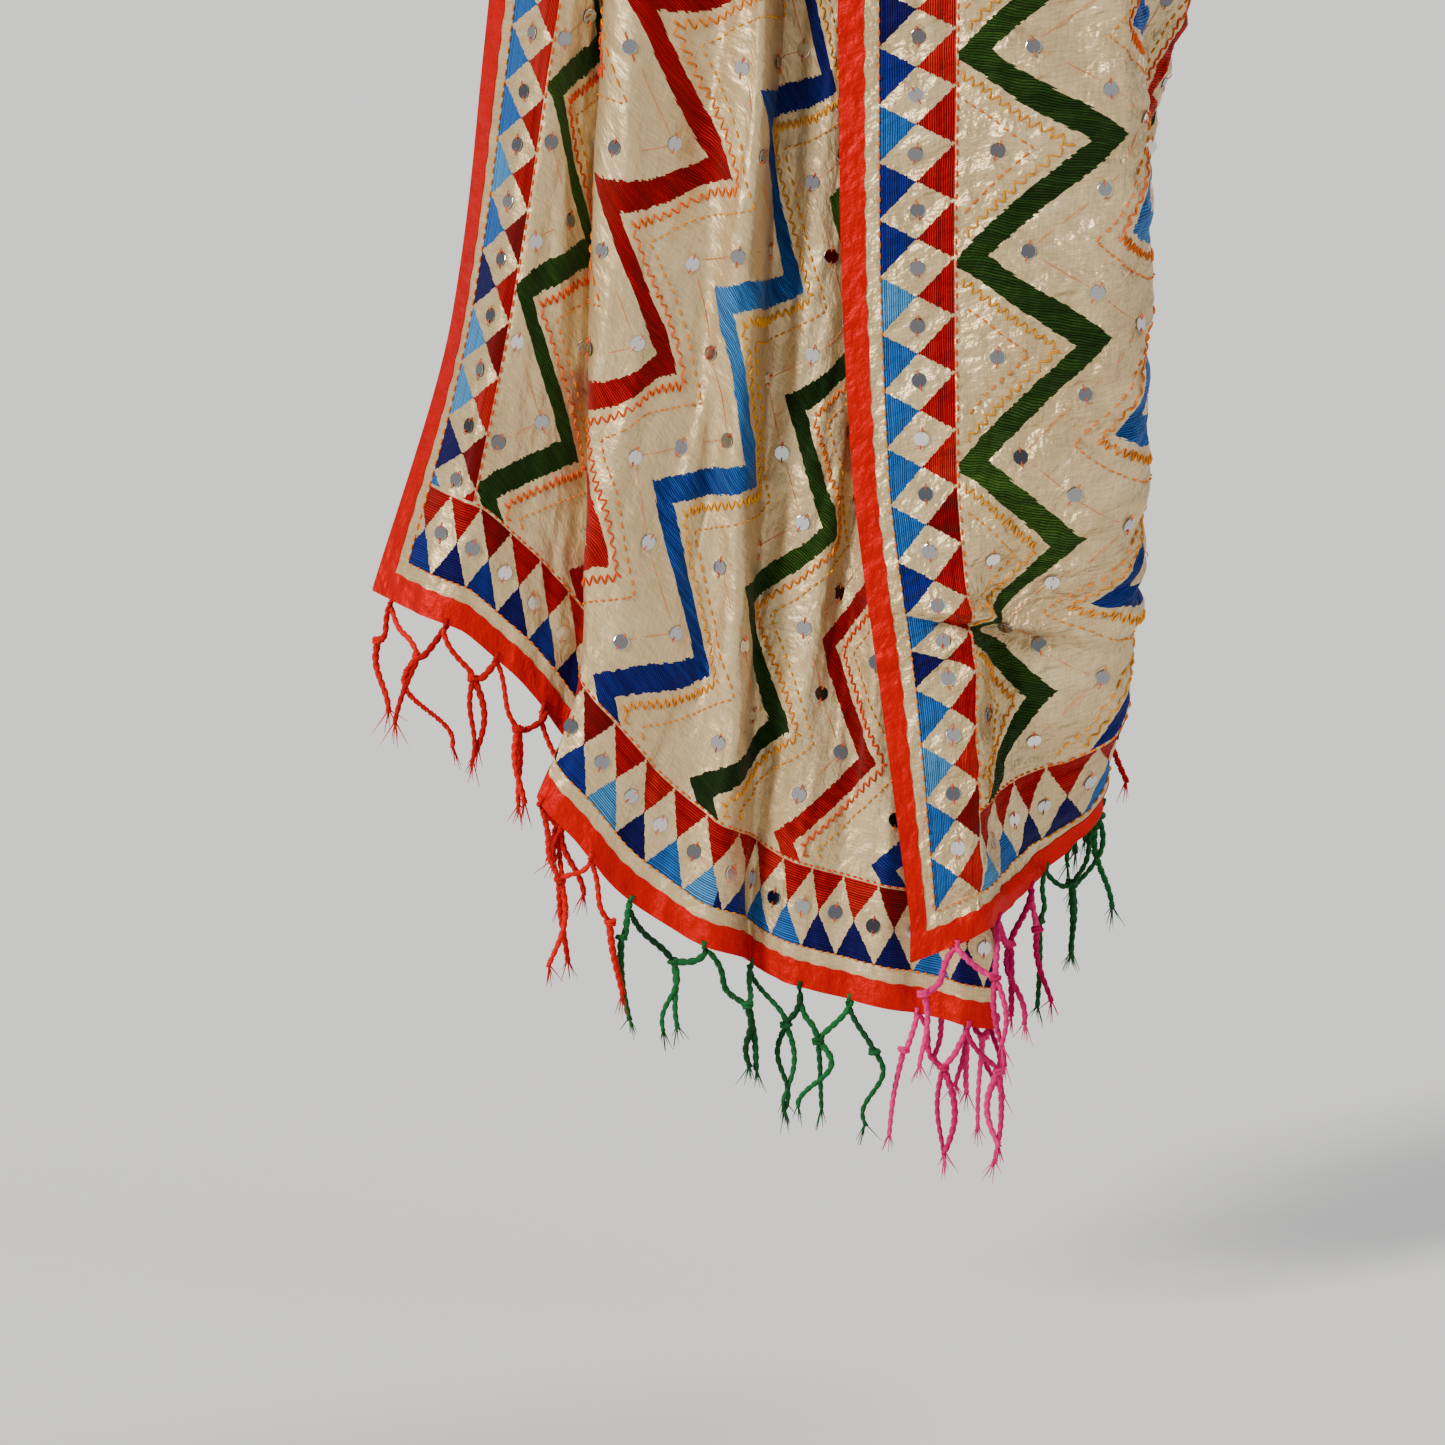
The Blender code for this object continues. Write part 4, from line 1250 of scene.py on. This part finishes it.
# %% What each piece is
NODE_OF = {"front": "front_fall", "span": "shoulder_span", "side": "side_fall"}


def dressed(obj, finish, nodes=()):
    """Gives a piece its finish, hangs it from the root and hides the CAD nodes that it stands
    for.
    """
    obj.data.materials.clear()
    obj.data.materials.append(finish)
    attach(obj, "root")
    if nodes:
        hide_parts(*nodes)


for name, obj in cloths.items():
    dressed(obj, cloth_finish, [NODE_OF[name] + "_cloth"])
for (name, where), obj in tapes.items():
    dressed(obj, tape_finish, [f"{NODE_OF[name]}_{where}_tape"])
for name in stretches:
    dressed(stitch_pieces[name], stitch_finish)
    dressed(sequin_pieces[name], sequin_finish)
    dressed(tie_pieces[name], tie_finish)
    dressed(float_pieces[name], float_finish)
for name, at_start, low, high, thread, nodes in FRINGES:
    for obj, stands_for in zip(fringes[name], (nodes, (), ())):
        dressed(obj, fringe_finish[thread], stands_for)
for name, rows in stretches.items():
    length = float(np.ptp(along[rows], axis=0).mean())
    goes = [obj for (part, _), obj in tapes.items() if part == name]
    goes += [group[name] for group in (stitch_pieces, sequin_pieces, tie_pieces, float_pieces)]
    if name != "span":
        at_front = name == "front"
        goes += [o for row in FRINGES if row[1] == at_front for o in fringes[row[0]]]
    across_step = np.linalg.norm(np.diff(grid[rows], axis=1), axis=-1)[:-1]
    along_step = np.linalg.norm(np.diff(grid[rows], axis=0), axis=-1)[:, :-1]
    covers = float((across_step * along_step).sum()) / (CLOTH_WIDTH * length)
    print(name, "cut", CLOTH_WIDTH, "x", round(length, 3), "covers", round(covers, 2))

# %% [markdown]
# The picture is taken from the front, from far enough away to keep upright lines upright,
# looking slightly down. A soft light stands high to the left, a weaker and wider one to the
# right, and a third behind. All come from far off, so the floor is evenly lit.

# %% Stage, light and camera
def far_light(name, place, aim, spread, power, colour=(1, 1, 1)):
    """An even, soft light from far off, in the direction from a place to its aim."""
    data = bpy.data.lights.new(name, "SUN")
    data.angle, data.energy, data.color = math.radians(spread), power, colour
    obj = placed(name, data)
    obj.location = place
    obj.rotation_euler = (Vector(aim) - Vector(place)).to_track_quat("-Z", "Y").to_euler()


FLOOR, FLOOR_HALF = -1.42, 60.0
corners = np.array(((-1, -1), (1, -1), (1, 1), (-1, 1))) * FLOOR_HALF
floor_mesh = bpy.data.meshes.new("floor")
floor_mesh.from_pydata([(x, y, FLOOR) for x, y in corners.tolist()], [], [(0, 1, 2, 3)])
floor = placed("floor", floor_mesh)
floor_finish, _, floor_shader = principled("pale floor")
floor_shader.inputs["Base Color"].default_value = (0.80, 0.79, 0.77, 1)
floor_shader.inputs["Roughness"].default_value = 0.9
floor.data.materials.append(floor_finish)
floor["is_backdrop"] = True
AIM = (-0.097, -0.10, -0.985)
far_light("key", (-2.1, -1.9, 0.6), AIM, 12, 3.7, (1.0, 0.98, 0.95))
far_light("fill", (2.6, -1.6, 0.4), AIM, 50, 0.5)
far_light("back", (1.6, 2.4, 1.2), AIM, 40, 1.8)
world = bpy.data.worlds.new("pale room")
bpy.context.scene.world = world
world.use_nodes = True
background = world.node_tree.nodes["Background"]
background.inputs["Color"].default_value = (0.80, 0.82, 0.85, 1)
background.inputs["Strength"].default_value = 0.42

FRAME_WIDE, AWAY, DOWNWARD = 1.0115, 5.0, math.radians(9.0)
camera_data = bpy.data.cameras.new("camera")
camera_data.sensor_width = 36.0
camera_data.lens = camera_data.sensor_width * AWAY / FRAME_WIDE
camera = placed("camera", camera_data)
back, rise = AWAY * math.cos(DOWNWARD), AWAY * math.sin(DOWNWARD)
camera.location = (AIM[0], AIM[1] - back, AIM[2] + rise)
camera.rotation_euler = (math.pi / 2 - DOWNWARD, 0, 0)
bpy.context.scene.camera = camera

low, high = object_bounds()
print("shown box", [round(v, 3) for v in (*low, *high)])
meshes = [obj.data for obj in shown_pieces() if obj.type == "MESH"]
print("triangles", sum(len(face.vertices) - 2 for mesh in meshes for face in mesh.polygons))
